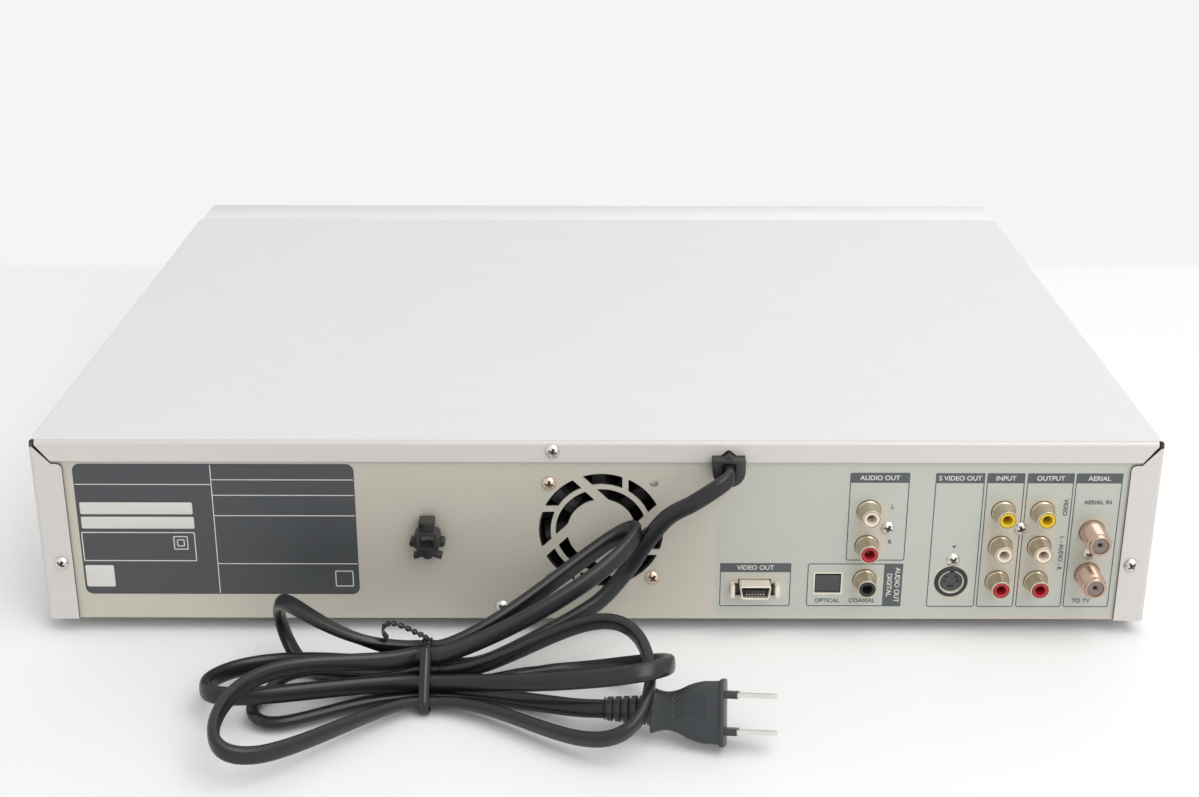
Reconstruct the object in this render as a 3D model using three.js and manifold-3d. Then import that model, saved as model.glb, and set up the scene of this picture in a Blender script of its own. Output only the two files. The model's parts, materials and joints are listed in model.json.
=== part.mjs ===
// A disc and tape player for a television: a low metal case with a moulded front, a disc
// drawer, a cassette mechanism, a row of rear sockets, a cooling fan and a folded mains lead.
// Millimetres, +Z up, front towards -Y, +X to the right seen from the front.
// The origin is on the ground under the middle of the case.
import * as THREE from 'three';
import { mergeVertices } from 'three/addons/utils/BufferGeometryUtils.js';
import Module from 'manifold-3d';

const wasm = await Module();
wasm.setup();

// Case
const overallWidth = 430;
const bodyHeight = 76;
const footHeight = 6;
const coverDepth = 306;
const bezelDepth = 29;
const coverSheet = 0.8;
const panelSheet = 1;
const socketReach = 12.7;
const buttonProud = 0.6;
// Clearance between pieces that touch or run in each other, and the overrun of a cut
const seat = 0.3;
const cutOver = 1;

// Planes worked out from the case
const bodyDepth = coverDepth + bezelDepth;
const bodyHalf = overallWidth / 2;
const bottomZ = footHeight;
const topZ = footHeight + bodyHeight;
const overallDepth = buttonProud + bodyDepth - coverSheet - seat + socketReach;
const frontY = buttonProud - overallDepth / 2;
const seamY = frontY + bezelDepth;
const rearY = frontY + bodyDepth;
const panelY = rearY - coverSheet - seat;
const panelBackY = panelY - panelSheet;
const innerHalf = bodyHalf - coverSheet - seat;
const innerTop = topZ - coverSheet - seat;

// Numbers of sides of round pieces
const fineSides = 48;
const roundSides = 24;
const pinSides = 12;
const smallSides = 10;

// Finishes
const finish = (color, roughness, metalness) => () =>
  new THREE.MeshStandardMaterial({ color, roughness, metalness, flatShading: true });
const coverPaint = finish(0xd8dadb, 0.45, 0.3);
const panelMetal = finish(0xc9c4b6, 0.4, 0.5);
const zincSteel = finish(0xb9bbbc, 0.45, 0.8);
const silverPlastic = finish(0xc8cacc, 0.4, 0.2);
const blackPlastic = finish(0x1b1c1d, 0.5, 0);
const greyPlastic = finish(0x3a3c3e, 0.6, 0);
const smokedAcrylic = finish(0x15181b, 0.1, 0);
const champagneMetal = finish(0xcfc5b2, 0.3, 0.8);
const whitePlastic = finish(0xe6e4de, 0.5, 0);
const boardGreen = finish(0x2f5a3c, 0.6, 0);
const brightSteel = finish(0xd0d2d4, 0.25, 0.9);
const brassYellow = finish(0xcda873, 0.35, 0.8);
const cordBlack = finish(0x232628, 0.45, 0);
const rubberBlack = finish(0x26282a, 0.8, 0);

// Solids

// Turns a closed geometry into a solid: vertices merged, slivers dropped, faces outward.
function solidOf(geometry) {
  const bare = geometry.clone();
  for (const name of Object.keys(bare.attributes)) {
    if (name !== 'position') bare.deleteAttribute(name);
  }
  const merged = mergeVertices(bare);
  const index = merged.index.array;
  const triangles = [];
  for (let i = 0; i < index.length; i += 3) {
    const [a, b, c] = [index[i], index[i + 1], index[i + 2]];
    if (a !== b && b !== c && c !== a) triangles.push(a, b, c);
  }
  const position = merged.attributes.position;
  const corner = (i) => new THREE.Vector3().fromBufferAttribute(position, i);
  let volume = 0;
  for (let i = 0; i < triangles.length; i += 3) {
    const [a, b, c] = [corner(triangles[i]), corner(triangles[i + 1]), corner(triangles[i + 2])];
    volume += a.dot(b.cross(c));
  }
  if (volume < 0) triangles.reverse();
  return new wasm.Manifold(new wasm.Mesh({
    numProp: 3,
    vertProperties: new Float32Array(position.array),
    triVerts: new Uint32Array(triangles),
  }));
}

// Joins a list of solids into one.
function join(...solids) {
  return solids.flat().reduce((sum, next) => sum.add(next));
}

// Takes a list of solids out of one.
function cut(solid, ...tools) {
  return tools.flat().reduce((rest, tool) => rest.subtract(tool), solid);
}

// Makes the named mesh of a solid, placed in its parent.
function piece(name, solid, material, at = [0, 0, 0], turn = [0, 0, 0]) {
  const { vertProperties, triVerts } = solid.getMesh();
  const geometry = new THREE.BufferGeometry();
  geometry.setAttribute('position', new THREE.BufferAttribute(vertProperties, 3));
  geometry.setIndex(new THREE.BufferAttribute(triVerts, 1));
  geometry.computeVertexNormals();
  const mesh = new THREE.Mesh(geometry, material());
  mesh.name = name;
  mesh.position.set(...at);
  mesh.rotation.set(...turn);
  return mesh;
}

// A group of meshes with a place and a turn.
function assembly(meshes, at = [0, 0, 0], turn = [0, 0, 0]) {
  const group = new THREE.Group();
  group.add(...meshes.flat());
  group.position.set(...at);
  group.rotation.set(...turn);
  return group;
}

// A box between two values on each axis.
function block([x0, x1], [y0, y1], [z0, z1]) {
  const geometry = new THREE.BoxGeometry(x1 - x0, y1 - y0, z1 - z0);
  return solidOf(geometry.translate((x0 + x1) / 2, (y0 + y1) / 2, (z0 + z1) / 2));
}

// The pair of values at a half width either side of a middle.
const about = (middle, half) => [middle - half, middle + half];

// Points of an arc about a centre, in the plane of the outline.
function arc(centre, radius, from, to, steps) {
  return Array.from({ length: steps + 1 }, (_, i) => {
    const angle = from + ((to - from) * i) / steps;
    return [centre[0] + radius * Math.cos(angle), centre[1] + radius * Math.sin(angle)];
  });
}

// A rectangle with round corners, as points.
function roundRect([x0, x1], [z0, z1], radius, steps = 3) {
  const quarter = Math.PI / 2;
  return [
    ...arc([x1 - radius, z1 - radius], radius, 0, quarter, steps),
    ...arc([x0 + radius, z1 - radius], radius, quarter, 2 * quarter, steps),
    ...arc([x0 + radius, z0 + radius], radius, 2 * quarter, 3 * quarter, steps),
    ...arc([x1 - radius, z0 + radius], radius, 3 * quarter, 4 * quarter, steps),
  ];
}

// An outline in x and z, extruded along y.
function acrossY(points, [y0, y1]) {
  const shape = new THREE.Shape(points.map(([x, z]) => new THREE.Vector2(x, z)));
  const geometry = new THREE.ExtrudeGeometry(shape, { depth: y1 - y0, bevelEnabled: false });
  return solidOf(geometry.rotateX(Math.PI / 2).translate(0, y1, 0));
}

// A cylinder along y at a place in x and z.
function rodY(radius, [x, z], [y0, y1], sides = pinSides) {
  const geometry = new THREE.CylinderGeometry(radius, radius, y1 - y0, sides);
  return solidOf(geometry.translate(x, (y0 + y1) / 2, z));
}

// A cylinder along z at a place in x and y.
function rodZ(radius, [x, y], [z0, z1], sides = pinSides) {
  const geometry = new THREE.CylinderGeometry(radius, radius, z1 - z0, sides);
  return solidOf(geometry.rotateX(Math.PI / 2).translate(x, y, (z0 + z1) / 2));
}

// A cylinder along x at a place in y and z.
function rodX(radius, [y, z], [x0, x1], sides = pinSides) {
  const geometry = new THREE.CylinderGeometry(radius, radius, x1 - x0, sides);
  return solidOf(geometry.rotateZ(Math.PI / 2).translate((x0 + x1) / 2, y, z));
}

// A profile of radius and height turned about y, or about z.
function turnedY(profile, sides) {
  const points = profile.map(([r, h]) => new THREE.Vector2(r, h));
  return solidOf(new THREE.LatheGeometry(points, sides));
}

function turnedZ(profile, sides) {
  const points = profile.map(([r, h]) => new THREE.Vector2(r, h));
  return solidOf(new THREE.LatheGeometry(points, sides).rotateX(Math.PI / 2));
}

// Rear layout: places across from the sockets' end of the case, and above its bottom edge
const fanAcross = 213.2;
const fanRise = 38.2;
const fanHolePitch = 40;
const bushingAcross = 165;
const bushingRise = 59.1;
const clipAcross = 279.9;
const audioAcross = 110.4;
const coaxialRise = 17.1;
const audioRise = 31.9;
const rcaRowPitch = 14.9;
const avAcross = 58.7;
const avPairPitch = 15.1;
const avRise = 16.7;
const svideoAcross = 76.6;
const svideoRise = 16.5;
const opticalAcross = 124.7;
const opticalRise = 15.8;
const dTerminalAcross = 153.3;
const dTerminalRise = 14.1;
const antennaAcross = 23.8;
const antennaRise = 19.9;
const antennaPitch = 18.2;
const lipScrewAcross = 231.7;
const lipScrewRise = 72.1;
const flangeScrewInset = 7.5;
const flangeScrewRise = 24.4;
const screwHole = 1.7;

const fanX = fanAcross - bodyHalf;
const bushingX = bushingAcross - bodyHalf;
const clipX = clipAcross - bodyHalf;
const audioX = audioAcross - bodyHalf;
const avX = avAcross - bodyHalf;
const svideoX = svideoAcross - bodyHalf;
const opticalX = opticalAcross - bodyHalf;
const dTerminalX = dTerminalAcross - bodyHalf;
const antennaX = antennaAcross - bodyHalf;

// Sizes of the socket barrels that the panel's holes follow
const rcaBase = 4.6;
const rcaBarrel = 4.1;
const rcaReach = 8;
const rcaBore = 1.6;
const svideoRadius = 6.4;
const antennaRadius = 4.9;
const opticalWidth = 13;
const opticalHeight = 10.2;
const dCutWidth = 22;
const dCutHeight = 9.6;
const clipStem = 2.4;
const bushingWidth = 12.5;
const bushingHeight = 11.2;
const bushingWaist = 1.3;

const fanZ = bottomZ + fanRise;
const lipScrew = [lipScrewAcross - bodyHalf, bottomZ + lipScrewRise];
const flangeScrewX = bodyHalf - flangeScrewInset;
const flangeScrewZ = bottomZ + flangeScrewRise;
const fanScrews = [1, -1].map((side) => [
  fanX + (side * fanHolePitch) / 2, fanZ + (side * fanHolePitch) / 2,
]);
const bushingZ = bottomZ + bushingRise;

// Top cover: one folded steel sheet over the top and both sides, with a lip and two side
// flanges folded in over the edge of the rear panel, mitred where they meet
const lipHeight = 8.5;
const flangeWidth = 11.8;
const flangeCorner = 2;
const coverBend = 1.6;
const mitreGap = 0.35;
const mitreHole = 1.3;
const bendSteps = 3;

// The outline of the folded sheet seen from behind, without its thickness.
function archOutline(half, top, bend) {
  return [
    [-half, bottomZ],
    ...arc([-half + bend, top - bend], bend, Math.PI, Math.PI / 2, bendSteps),
    ...arc([half - bend, top - bend], bend, Math.PI / 2, 0, bendSteps),
    [half, bottomZ],
  ];
}

// The gable-shaped notch of the lip round the cord bushing.
const gableHalf = 2.9;
const gableRise = 2.2;
const gableFlat = 0.5;

function bushingNotch() {
  const half = bushingWidth / 2 + seat;
  const shoulder = bushingZ + bushingHeight + seat;
  const points = [
    [bushingX - half, bushingZ], [bushingX + half, bushingZ], [bushingX + half, shoulder],
    [bushingX + gableHalf, shoulder], [bushingX + gableFlat, shoulder + gableRise],
    [bushingX - gableFlat, shoulder + gableRise], [bushingX - gableHalf, shoulder],
    [bushingX - half, shoulder],
  ];
  return acrossY(points, [rearY - coverSheet - cutOver, rearY + cutOver]);
}

function topCover() {
  const outer = archOutline(bodyHalf, topZ, coverBend);
  const inner = archOutline(bodyHalf - coverSheet, topZ - coverSheet, coverBend - coverSheet);
  const shell = acrossY([...outer, ...inner.reverse()], [seamY + seat, rearY]);
  const opening = archOutline(bodyHalf - flangeWidth, topZ - lipHeight, flangeCorner);
  const folded = acrossY([...outer, ...opening.reverse()], [rearY - coverSheet, rearY]);
  const through = [rearY - coverSheet - cutOver, rearY + cutOver];
  const mitres = [-1, 1].map((side) => {
    const length = lipHeight + coverBend;
    const bar = new THREE.BoxGeometry(length, coverSheet + 2 * cutOver, mitreGap);
    bar.rotateY((side * Math.PI) / 4);
    const reach = (length / 2) * Math.SQRT1_2 + coverSheet + mitreHole;
    return solidOf(bar.translate(side * (bodyHalf - reach), rearY - coverSheet / 2, topZ - reach));
  });
  const cornerHoles = [-1, 1].map((side) => {
    const inset = coverSheet + mitreHole;
    return rodY(mitreHole, [side * (bodyHalf - inset), topZ - inset], through, smallSides);
  });
  const screwHoles = [
    rodY(screwHole, lipScrew, through),
    ...[-1, 1].map((side) => rodY(screwHole, [side * flangeScrewX, flangeScrewZ], through)),
  ];
  const solid = cut(join(shell, folded), mitres, cornerHoles, screwHoles, bushingNotch());
  return piece('top_cover', solid, coverPaint);
}

// Rear panel: one flat steel sheet with the fan grille and the socket holes.
// The grille is two rings of slots. Four wide struts cross both rings and four narrow ones
// cross the outer ring; each passes the centre at the same distance, so that they wheel.
const outerRing = [19.5, 24];
const innerRing = [13.1, 17.6];
const wideStrut = 3.7;
const narrowStrut = 2.3;
const strutOffset = 9.2;

function ringCutter([inner, outer], sides) {
  const through = [panelBackY - cutOver, panelY + cutOver];
  const centre = [fanX, fanZ];
  return cut(rodY(outer, centre, through, sides),
    rodY(inner, centre, [panelBackY - 2 * cutOver, panelY + 2 * cutOver], sides));
}

function strutWheel(width, firstAngle) {
  const length = outerRing[1] + cutOver;
  const deep = panelSheet + 6 * cutOver;
  return Array.from({ length: 4 }, (_, i) => {
    const bar = new THREE.BoxGeometry(length, deep, width);
    bar.translate(-length / 2, 0, strutOffset);
    bar.rotateY(firstAngle + (i * Math.PI) / 2);
    return solidOf(bar.translate(fanX, (panelY + panelBackY) / 2, fanZ));
  });
}

function grilleSlots() {
  const wide = strutWheel(wideStrut, -Math.PI / 4);
  const narrow = strutWheel(narrowStrut, 0);
  return [
    cut(ringCutter(outerRing, fineSides), wide, narrow),
    cut(ringCutter(innerRing, fineSides), wide),
  ];
}

// The outline of the cord bushing: flat top and half-round bottom.
function bushingOutline(inset, up = 0) {
  const half = bushingWidth / 2 - inset;
  const centre = [bushingX, bushingZ + bushingWidth / 2];
  const top = bushingZ + bushingHeight - inset + up;
  const bottom = arc(centre, half, Math.PI, 2 * Math.PI, 2 * bendSteps + 2);
  return [...bottom, [bushingX + half, top], [bushingX - half, top]];
}

const rcaPlaces = {
  coaxial_jack: [[audioX, bottomZ + coaxialRise]],
  audio_out_jacks: [0, 1].map((row) => [audioX, bottomZ + audioRise + row * rcaRowPitch]),
  av_jack_block: [0, 1, 2].flatMap((row) => [0, 1].map((side) => [
    avX - side * avPairPitch, bottomZ + avRise + row * rcaRowPitch,
  ])),
};

const antennaPlaces = [0, 1].map((row) => [antennaX, bottomZ + antennaRise + row * antennaPitch]);
const svideoPlace = [svideoX, bottomZ + svideoRise];
const clipRise = 31.5;
const clipStemPlace = [clipX, bottomZ + clipRise];

function rearPanel() {
  const through = [panelBackY - cutOver, panelY + cutOver];
  const sheet = block([-innerHalf, innerHalf], [panelBackY, panelY], [bottomZ, innerTop]);
  const bushingSlot = acrossY(bushingOutline(bushingWaist - seat, bodyHeight), through);
  const holes = [
    ...Object.values(rcaPlaces).flat().map((at) => rodY(rcaBase + seat, at, through, roundSides / 2)),
    ...antennaPlaces.map((at) => rodY(antennaRadius + seat, at, through, roundSides / 2)),
    rodY(svideoRadius + seat, svideoPlace, through, roundSides),
    rodY(clipStem + seat, clipStemPlace, through),
    rodY(screwHole, lipScrew, through, smallSides),
    ...[-1, 1].map((side) => rodY(screwHole, [side * flangeScrewX, flangeScrewZ], through, smallSides)),
    ...[-1, 1].flatMap((across) => [-1, 1].map((up) => rodY(screwHole,
      [fanX + (across * fanHolePitch) / 2, fanZ + (up * fanHolePitch) / 2], through, smallSides))),
    block(about(opticalX, opticalWidth / 2 + seat), through,
      about(bottomZ + opticalRise, opticalHeight / 2 + seat)),
    block(about(dTerminalX, dCutWidth / 2 + seat), through,
      about(bottomZ + dTerminalRise, dCutHeight / 2 + seat)),
  ];
  return piece('rear_panel', cut(sheet, bushingSlot, holes, grilleSlots()), panelMetal);
}

// Base: a shallow pan with turned-up sides, pillars for the boards and mechanisms, and two
// rows of air slots under the power supply
const baseSheet = 1;
const baseWall = 12;
const pillarRadius = 3;
const ventLength = 34;
const ventWidth = 3;
const ventPitch = 8;
const ventRows = 2;
const ventCount = 6;
const boardSheet = 1.6;
const boardStandoff = 5;

const floorZ = bottomZ + baseSheet;
const boardZ = floorZ + boardStandoff + seat;
const boardTop = boardZ + boardSheet;

// Disc drive and cassette deck: the plan of their frames, against the two sides of the case
const mechanismGap = 7.3;
const trayWidth = 136;
const driveWall = 2;
const driveDepth = 184;
const driveFloorZ = 40;
const deckFloorZ = 24;
const deckSheet = 1.5;
const cassetteWidth = 188;
const cassetteHeight = 25;
const cassetteSlack = 1;
const holderSheet = 1;

// Places along the deck from its front edge: reels, capstan, drum and guide posts
const reelInset = 126;
const capstanInset = reelInset + 50;
const drumInset = reelInset + 68;
const drumRadius = 31;
const postInset = [drumInset - 26, drumInset + 32];
const deckMargin = 11;

const driveHalf = trayWidth / 2 + seat + driveWall;
const driveX = innerHalf - mechanismGap - driveHalf;
const driveFrontY = seamY + cutOver;
const driveRearY = driveFrontY + driveDepth;
const holderHalf = cassetteWidth / 2 + cassetteSlack / 2 + holderSheet;
const sliderHalf = holderHalf + seat + holderSheet;
const deckHalf = sliderHalf + seat + deckSheet;
const deckX = mechanismGap + deckHalf - innerHalf;
const deckDepth = drumInset + drumRadius + deckMargin;
const deckFrontY = seamY + 4 * cutOver;
const deckRearY = deckFrontY + deckDepth;

// Main board behind the cassette deck, and power supply board behind the disc drive
const mainBoardWidth = 162;
const mainBoardInset = 9;
const mainBoardGap = 7.6;
const powerBoardWidth = 152;
const powerBoardInset = 11;
const powerBoardGap = 20;
const powerBoardRear = 6;

const mainBoard = {
  x: [mainBoardInset - bodyHalf, mainBoardInset - bodyHalf + mainBoardWidth],
  y: [deckRearY + mainBoardGap, panelBackY - seat],
};
const powerBoard = {
  x: [bodyHalf - powerBoardInset - powerBoardWidth, bodyHalf - powerBoardInset],
  y: [driveRearY + powerBoardGap, panelBackY - powerBoardRear],
};

// A value at a share of the way along a pair.
const along = ([low, high], share) => low + (high - low) * share;

// Places of four pillars near the corners of a plan.
const pillarInset = 8;

function pillarPlaces([x0, x1], [y0, y1]) {
  return [x0 + pillarInset, x1 - pillarInset].flatMap((x) =>
    [y0 + pillarInset, y1 - pillarInset].map((y) => [x, y]));
}

const drivePlan = [about(driveX, driveHalf), [driveFrontY, driveRearY]];
const deckPlan = [about(deckX, deckHalf), [deckFrontY, deckRearY]];

function chassisBase() {
  const length = [seamY + seat, panelBackY - seat];
  const pan = block([-innerHalf, innerHalf], length, [bottomZ, floorZ]);
  const walls = [-1, 1].map((side) => block(
    side < 0 ? [-innerHalf, baseSheet - innerHalf] : [innerHalf - baseSheet, innerHalf],
    length, [bottomZ, floorZ + baseWall]));
  const pillars = (plan, top) => pillarPlaces(...plan).map((at) =>
    rodZ(pillarRadius, at, [bottomZ, top], smallSides));
  const vents = Array.from({ length: ventRows * ventCount }, (_, i) => {
    const row = i % ventRows;
    const step = Math.floor(i / ventRows);
    const x = along(powerBoard.x, 1 / 2) + (row - 1 / 2) * (ventLength + ventPitch);
    const y = along(powerBoard.y, 1 / 2) + (step - (ventCount - 1) / 2) * ventPitch;
    return block(about(x, ventLength / 2), about(y, ventWidth / 2),
      [bottomZ - cutOver, floorZ + cutOver]);
  });
  const solid = join(
    cut(pan, vents), walls,
    pillars([mainBoard.x, mainBoard.y], boardZ - seat),
    pillars([powerBoard.x, powerBoard.y], boardZ - seat),
    pillars(drivePlan, driveFloorZ - seat),
    pillars(deckPlan, deckFloorZ - seat),
  );
  return piece('chassis_base', solid, zincSteel);
}

// Feet: low moulded pads with a sunk screw hole
const footRadius = 11;
const footTaper = 1.2;
const footSink = 3;
const footBore = 3;
const footInsetX = 42;
const footInsetY = 34;

function feet() {
  const tall = footHeight - seat;
  const profile = [
    [0, footSink], [footBore, footSink], [footBore, 0], [footRadius - footTaper, 0],
    [footRadius, footTaper], [footRadius, tall], [0, tall],
  ];
  const places = {
    foot_front_left: [-bodyHalf + footInsetX, seamY + footInsetY],
    foot_front_right: [bodyHalf - footInsetX, seamY + footInsetY],
    foot_rear_left: [-bodyHalf + footInsetX, rearY - footInsetY],
    foot_rear_right: [bodyHalf - footInsetX, rearY - footInsetY],
  };
  return Object.entries(places).map(([name, [x, y]]) =>
    piece(name, turnedZ(profile, roundSides), rubberBlack, [x, y, 0]));
}

// Screws: domed heads outside, plain shanks through the sheets
const screwHead = 2.75;
const screwDome = 1.7;
const screwShank = 1.3;
const screwLength = 7;

function screw(name, [x, z], faceY, material) {
  const profile = [
    [0, -screwLength], [screwShank, -screwLength], [screwShank, seat], [screwHead, seat],
    [screwHead, seat + screwDome / 3], [screwHead * Math.SQRT1_2, seat + screwDome * 0.8],
    [0, seat + screwDome],
  ];
  return piece(name, turnedY(profile, pinSides), material, [x, faceY, z]);
}

function screws() {
  return [
    screw('cover_screw_rear', lipScrew, rearY, zincSteel),
    screw('cover_screw_left', [-flangeScrewX, flangeScrewZ], rearY, zincSteel),
    screw('cover_screw_right', [flangeScrewX, flangeScrewZ], rearY, zincSteel),
    screw('fan_screw_upper', fanScrews[0], panelY, brassYellow),
    screw('fan_screw_lower', fanScrews[1], panelY, brassYellow),
  ];
}

// Cord bushing: it slides into the panel's slot from above and the lip closes the slot
const bushingReach = 6;
const bushingBack = 2.5;
const cordWidth = 6.6;
const cordThick = 4.2;
const cordSocket = 1.2;
const cordExitRise = 65.3;

const cordExit = [bushingX, panelY + bushingReach, bottomZ + cordExitRise];

function cordBushing() {
  const front = acrossY(bushingOutline(0), [panelY + seat, panelY + bushingReach]);
  const waist = acrossY(bushingOutline(bushingWaist), [panelBackY - bushingBack, panelY + bushingReach / 2]);
  const back = acrossY(bushingOutline(0), [panelBackY - seat - bushingBack, panelBackY - seat]);
  const ridgeTop = bushingZ + bushingHeight;
  const ridge = acrossY([
    [bushingX - gableHalf + seat, ridgeTop - seat], [bushingX + gableHalf - seat, ridgeTop - seat],
    [bushingX, ridgeTop + gableRise - seat],
  ], [panelY + seat, panelY + bushingReach - cordSocket]);
  const socket = block(about(bushingX, cordThick / 2 + seat),
    [panelY + bushingReach - cordSocket, panelY + bushingReach + cutOver],
    about(cordExit[2], cordWidth / 2 + seat));
  return piece('cord_bushing', cut(join(front, waist, back, ridge), socket), blackPlastic);
}

// Wire clip: a push-in clip with a ring, a latch over it, side ears and splayed feet
const clipRingHalf = 5;
const clipRingRise = [33.3, 40.8];
const clipHoleHalf = 2.6;
const clipHoleRise = [34.6, 39.4];
const clipLatchHalf = 2.9;
const clipLatchTop = 45.3;
const clipEar = 1.3;
const clipEarX = 5.6;
const clipEarRise = 35.5;
const clipBody = 2.6;
const clipFootReach = 5.8;
const clipFootDrop = 2.6;
const clipFootThick = 1.5;
const clipStub = 0.8;
const clipStubDrop = 3.8;
const clipStandoff = 1.6;
const clipReach = 8;

function wireClip() {
  const up = (rise) => bottomZ + rise;
  const y = [panelY + clipStandoff, panelY + clipReach];
  const ring = cut(
    acrossY(roundRect(about(clipX, clipRingHalf), clipRingRise.map(up), clipRingHalf / 2), y),
    block(about(clipX, clipHoleHalf), [y[0] - cutOver, y[1] + cutOver], clipHoleRise.map(up)));
  const latch = block(about(clipX, clipLatchHalf), [y[0], y[1] - clipStandoff],
    [up(clipHoleRise[1]), up(clipLatchTop)]);
  const hook = block(about(clipX, clipLatchHalf), y,
    [up(clipLatchTop) - clipStandoff, up(clipLatchTop)]);
  const ears = [-1, 1].map((side) =>
    rodY(clipEar, [clipX + side * clipEarX, up(clipEarRise)], [y[0], y[1] - clipStandoff], smallSides));
  const body = rodY(clipBody, clipStemPlace, [panelY + seat, y[1] - clipStandoff]);
  const stem = rodY(clipStem, clipStemPlace, [panelBackY - clipReach / 2, y[0]]);
  const splayed = [-1, 1].map((side) => {
    const leg = new THREE.BoxGeometry(clipFootReach, clipReach / 2, clipFootThick);
    leg.translate((side * clipFootReach) / 2, 0, 0).rotateY((side * Math.PI) / 8);
    return solidOf(leg.translate(clipX, y[0] + clipReach / 4, clipStemPlace[1]));
  });
  const stub = block(about(clipX, clipStub), [y[0], y[0] + clipStandoff],
    [clipStemPlace[1] - clipStubDrop, clipStemPlace[1]]);
  return piece('wire_clip', join(ring, latch, hook, ears, body, stem, splayed, stub), blackPlastic);
}

// Fan: a square frame with a bore, a motor plate on three struts, and a rotor of seven
// cambered blades. Local origin on the fan axis at the frame's outer face.
const fanSize = 50;
const fanDepth = 15;
const fanBore = 23.4;
const fanHub = 12.3;
const fanTip = 22;
const fanCorner = 3;
const fanBlades = 7;
const bladeChord = 9.5;
const bladeCamber = 1.8;
const bladeThick = 1;
const bladePitch = 0.6;
const motorPlate = 2;
const motorStrut = 2.6;
const fanMargin = 1;

function fanFrame() {
  const half = fanSize / 2;
  const body = acrossY(roundRect([-half, half], [-half, half], fanCorner), [-fanDepth, 0]);
  const bore = rodY(fanBore, [0, 0], [-fanDepth - cutOver, cutOver], fineSides / 2 + pinSides);
  const holes = [-1, 1].flatMap((across) => [-1, 1].map((up) =>
    rodY(screwHole, [(across * fanHolePitch) / 2, (up * fanHolePitch) / 2],
      [-fanDepth - cutOver, cutOver], smallSides)));
  const plate = rodY(fanHub, [0, 0], [-fanDepth, motorPlate - fanDepth], roundSides);
  const struts = Array.from({ length: 3 }, (_, i) => {
    const bar = new THREE.BoxGeometry(fanBore + fanMargin, motorPlate, motorStrut);
    bar.translate((fanBore + fanMargin) / 2, motorPlate / 2 - fanDepth, 0);
    return solidOf(bar.rotateY((2 * Math.PI * i) / 3));
  });
  return piece('fan_frame', join(cut(body, bore, holes), plate, struts), blackPlastic);
}

function fanRotor() {
  const y0 = motorPlate + seat - fanDepth;
  const hub = rodY(fanHub, [0, 0], [y0, -fanMargin], roundSides);
  const steps = 4;
  const camber = (share, offset) => {
    const across = (share - 1 / 2) * bladeChord;
    return [across, bladeCamber * Math.sin(Math.PI * share) + offset];
  };
  const shares = Array.from({ length: steps + 1 }, (_, i) => i / steps);
  const section = [
    ...shares.map((share) => camber(share, 0)),
    ...shares.reverse().map((share) => camber(share, bladeThick)),
  ];
  const blades = Array.from({ length: fanBlades }, (_, i) => {
    const shape = new THREE.Shape(section.map(([a, b]) => new THREE.Vector2(a, b)));
    const blade = new THREE.ExtrudeGeometry(shape,
      { depth: fanTip - fanHub + fanMargin, bevelEnabled: false });
    blade.rotateZ(bladePitch).translate(0, (y0 - fanMargin) / 2, fanHub - fanMargin);
    return solidOf(blade.rotateY((2 * Math.PI * i) / fanBlades));
  });
  return piece('fan_rotor', join(hub, blades), blackPlastic);
}

function fan() {
  return assembly([fanFrame(), fanRotor()], [fanX, panelBackY - seat, fanZ]);
}

// Phono sockets: a moulded body behind the panel and one plated barrel for each signal
const rcaBodyHalf = 6;
const rcaBodyDepth = 11;
const rcaCollar = 1.2;
const rcaDish = 0.8;
const rcaBoreDepth = 6;
const rcaLip = 1.1;

function rcaBarrelAt([x, z]) {
  const root = -panelSheet - seat - cutOver;
  const profile = [
    [0, root], [rcaBase, root], [rcaBase, rcaCollar], [rcaBarrel, rcaCollar],
    [rcaBarrel, rcaReach], [rcaBarrel - rcaLip, rcaReach], [rcaBore, rcaReach - rcaDish],
    [rcaBore, rcaReach - rcaBoreDepth], [0, rcaReach - rcaBoreDepth],
  ];
  return turnedY(profile, pinSides).translate(x, panelY, z);
}

function rcaSockets() {
  return Object.entries(rcaPlaces).map(([name, places]) => {
    const xs = places.map(([x]) => x);
    const top = Math.max(...places.map(([, z]) => z)) + rcaBodyHalf;
    const stacked = name === 'audio_out_jacks';
    const low = stacked ? places[0][1] - rcaBodyHalf : boardTop + seat;
    const width = [Math.min(...xs) - rcaBodyHalf, Math.max(...xs) + rcaBodyHalf];
    const depth = [panelBackY - seat - rcaBodyDepth, panelBackY - seat];
    const body = block(width, depth, [low, top]);
    return piece(name, join(body, places.map(rcaBarrelAt)), champagneMetal);
  });
}

// S-video socket: a round shell with a sunk face, four pin holes and a key slot
const svideoShell = 5;
const svideoProud = 0.8;
const svideoSink = 1.6;
const svideoPin = 0.75;
const svideoPinRow = [1.5, -1.3];
const svideoPinHalf = [3.2, 1.8];
const svideoKeyHalf = 1.3;
const svideoKeyDrop = 3.2;

function svideoJack() {
  const [x, z] = svideoPlace;
  const half = svideoRadius + seat;
  const root = -panelSheet - seat - cutOver;
  const face = svideoProud - svideoSink;
  const shell = turnedY([
    [0, root], [svideoRadius, root], [svideoRadius, svideoProud], [svideoShell, svideoProud],
    [svideoShell, face], [0, face],
  ], roundSides);
  const pinDepth = [face - svideoSink / 2, face + cutOver];
  const pins = svideoPinRow.flatMap((row, i) => [-1, 1].map((side) =>
    rodY(svideoPin, [side * svideoPinHalf[i], row], pinDepth, smallSides - 2)));
  const key = block(about(0, svideoKeyHalf), pinDepth, about(-svideoKeyDrop, svideoPin));
  const body = block(about(0, half), [root - rcaBodyDepth, root + cutOver / 2],
    [boardTop + seat - z, half]);
  return piece('svideo_jack', join(cut(shell, pins, key), body), champagneMetal, [x, panelY, z]);
}

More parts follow.
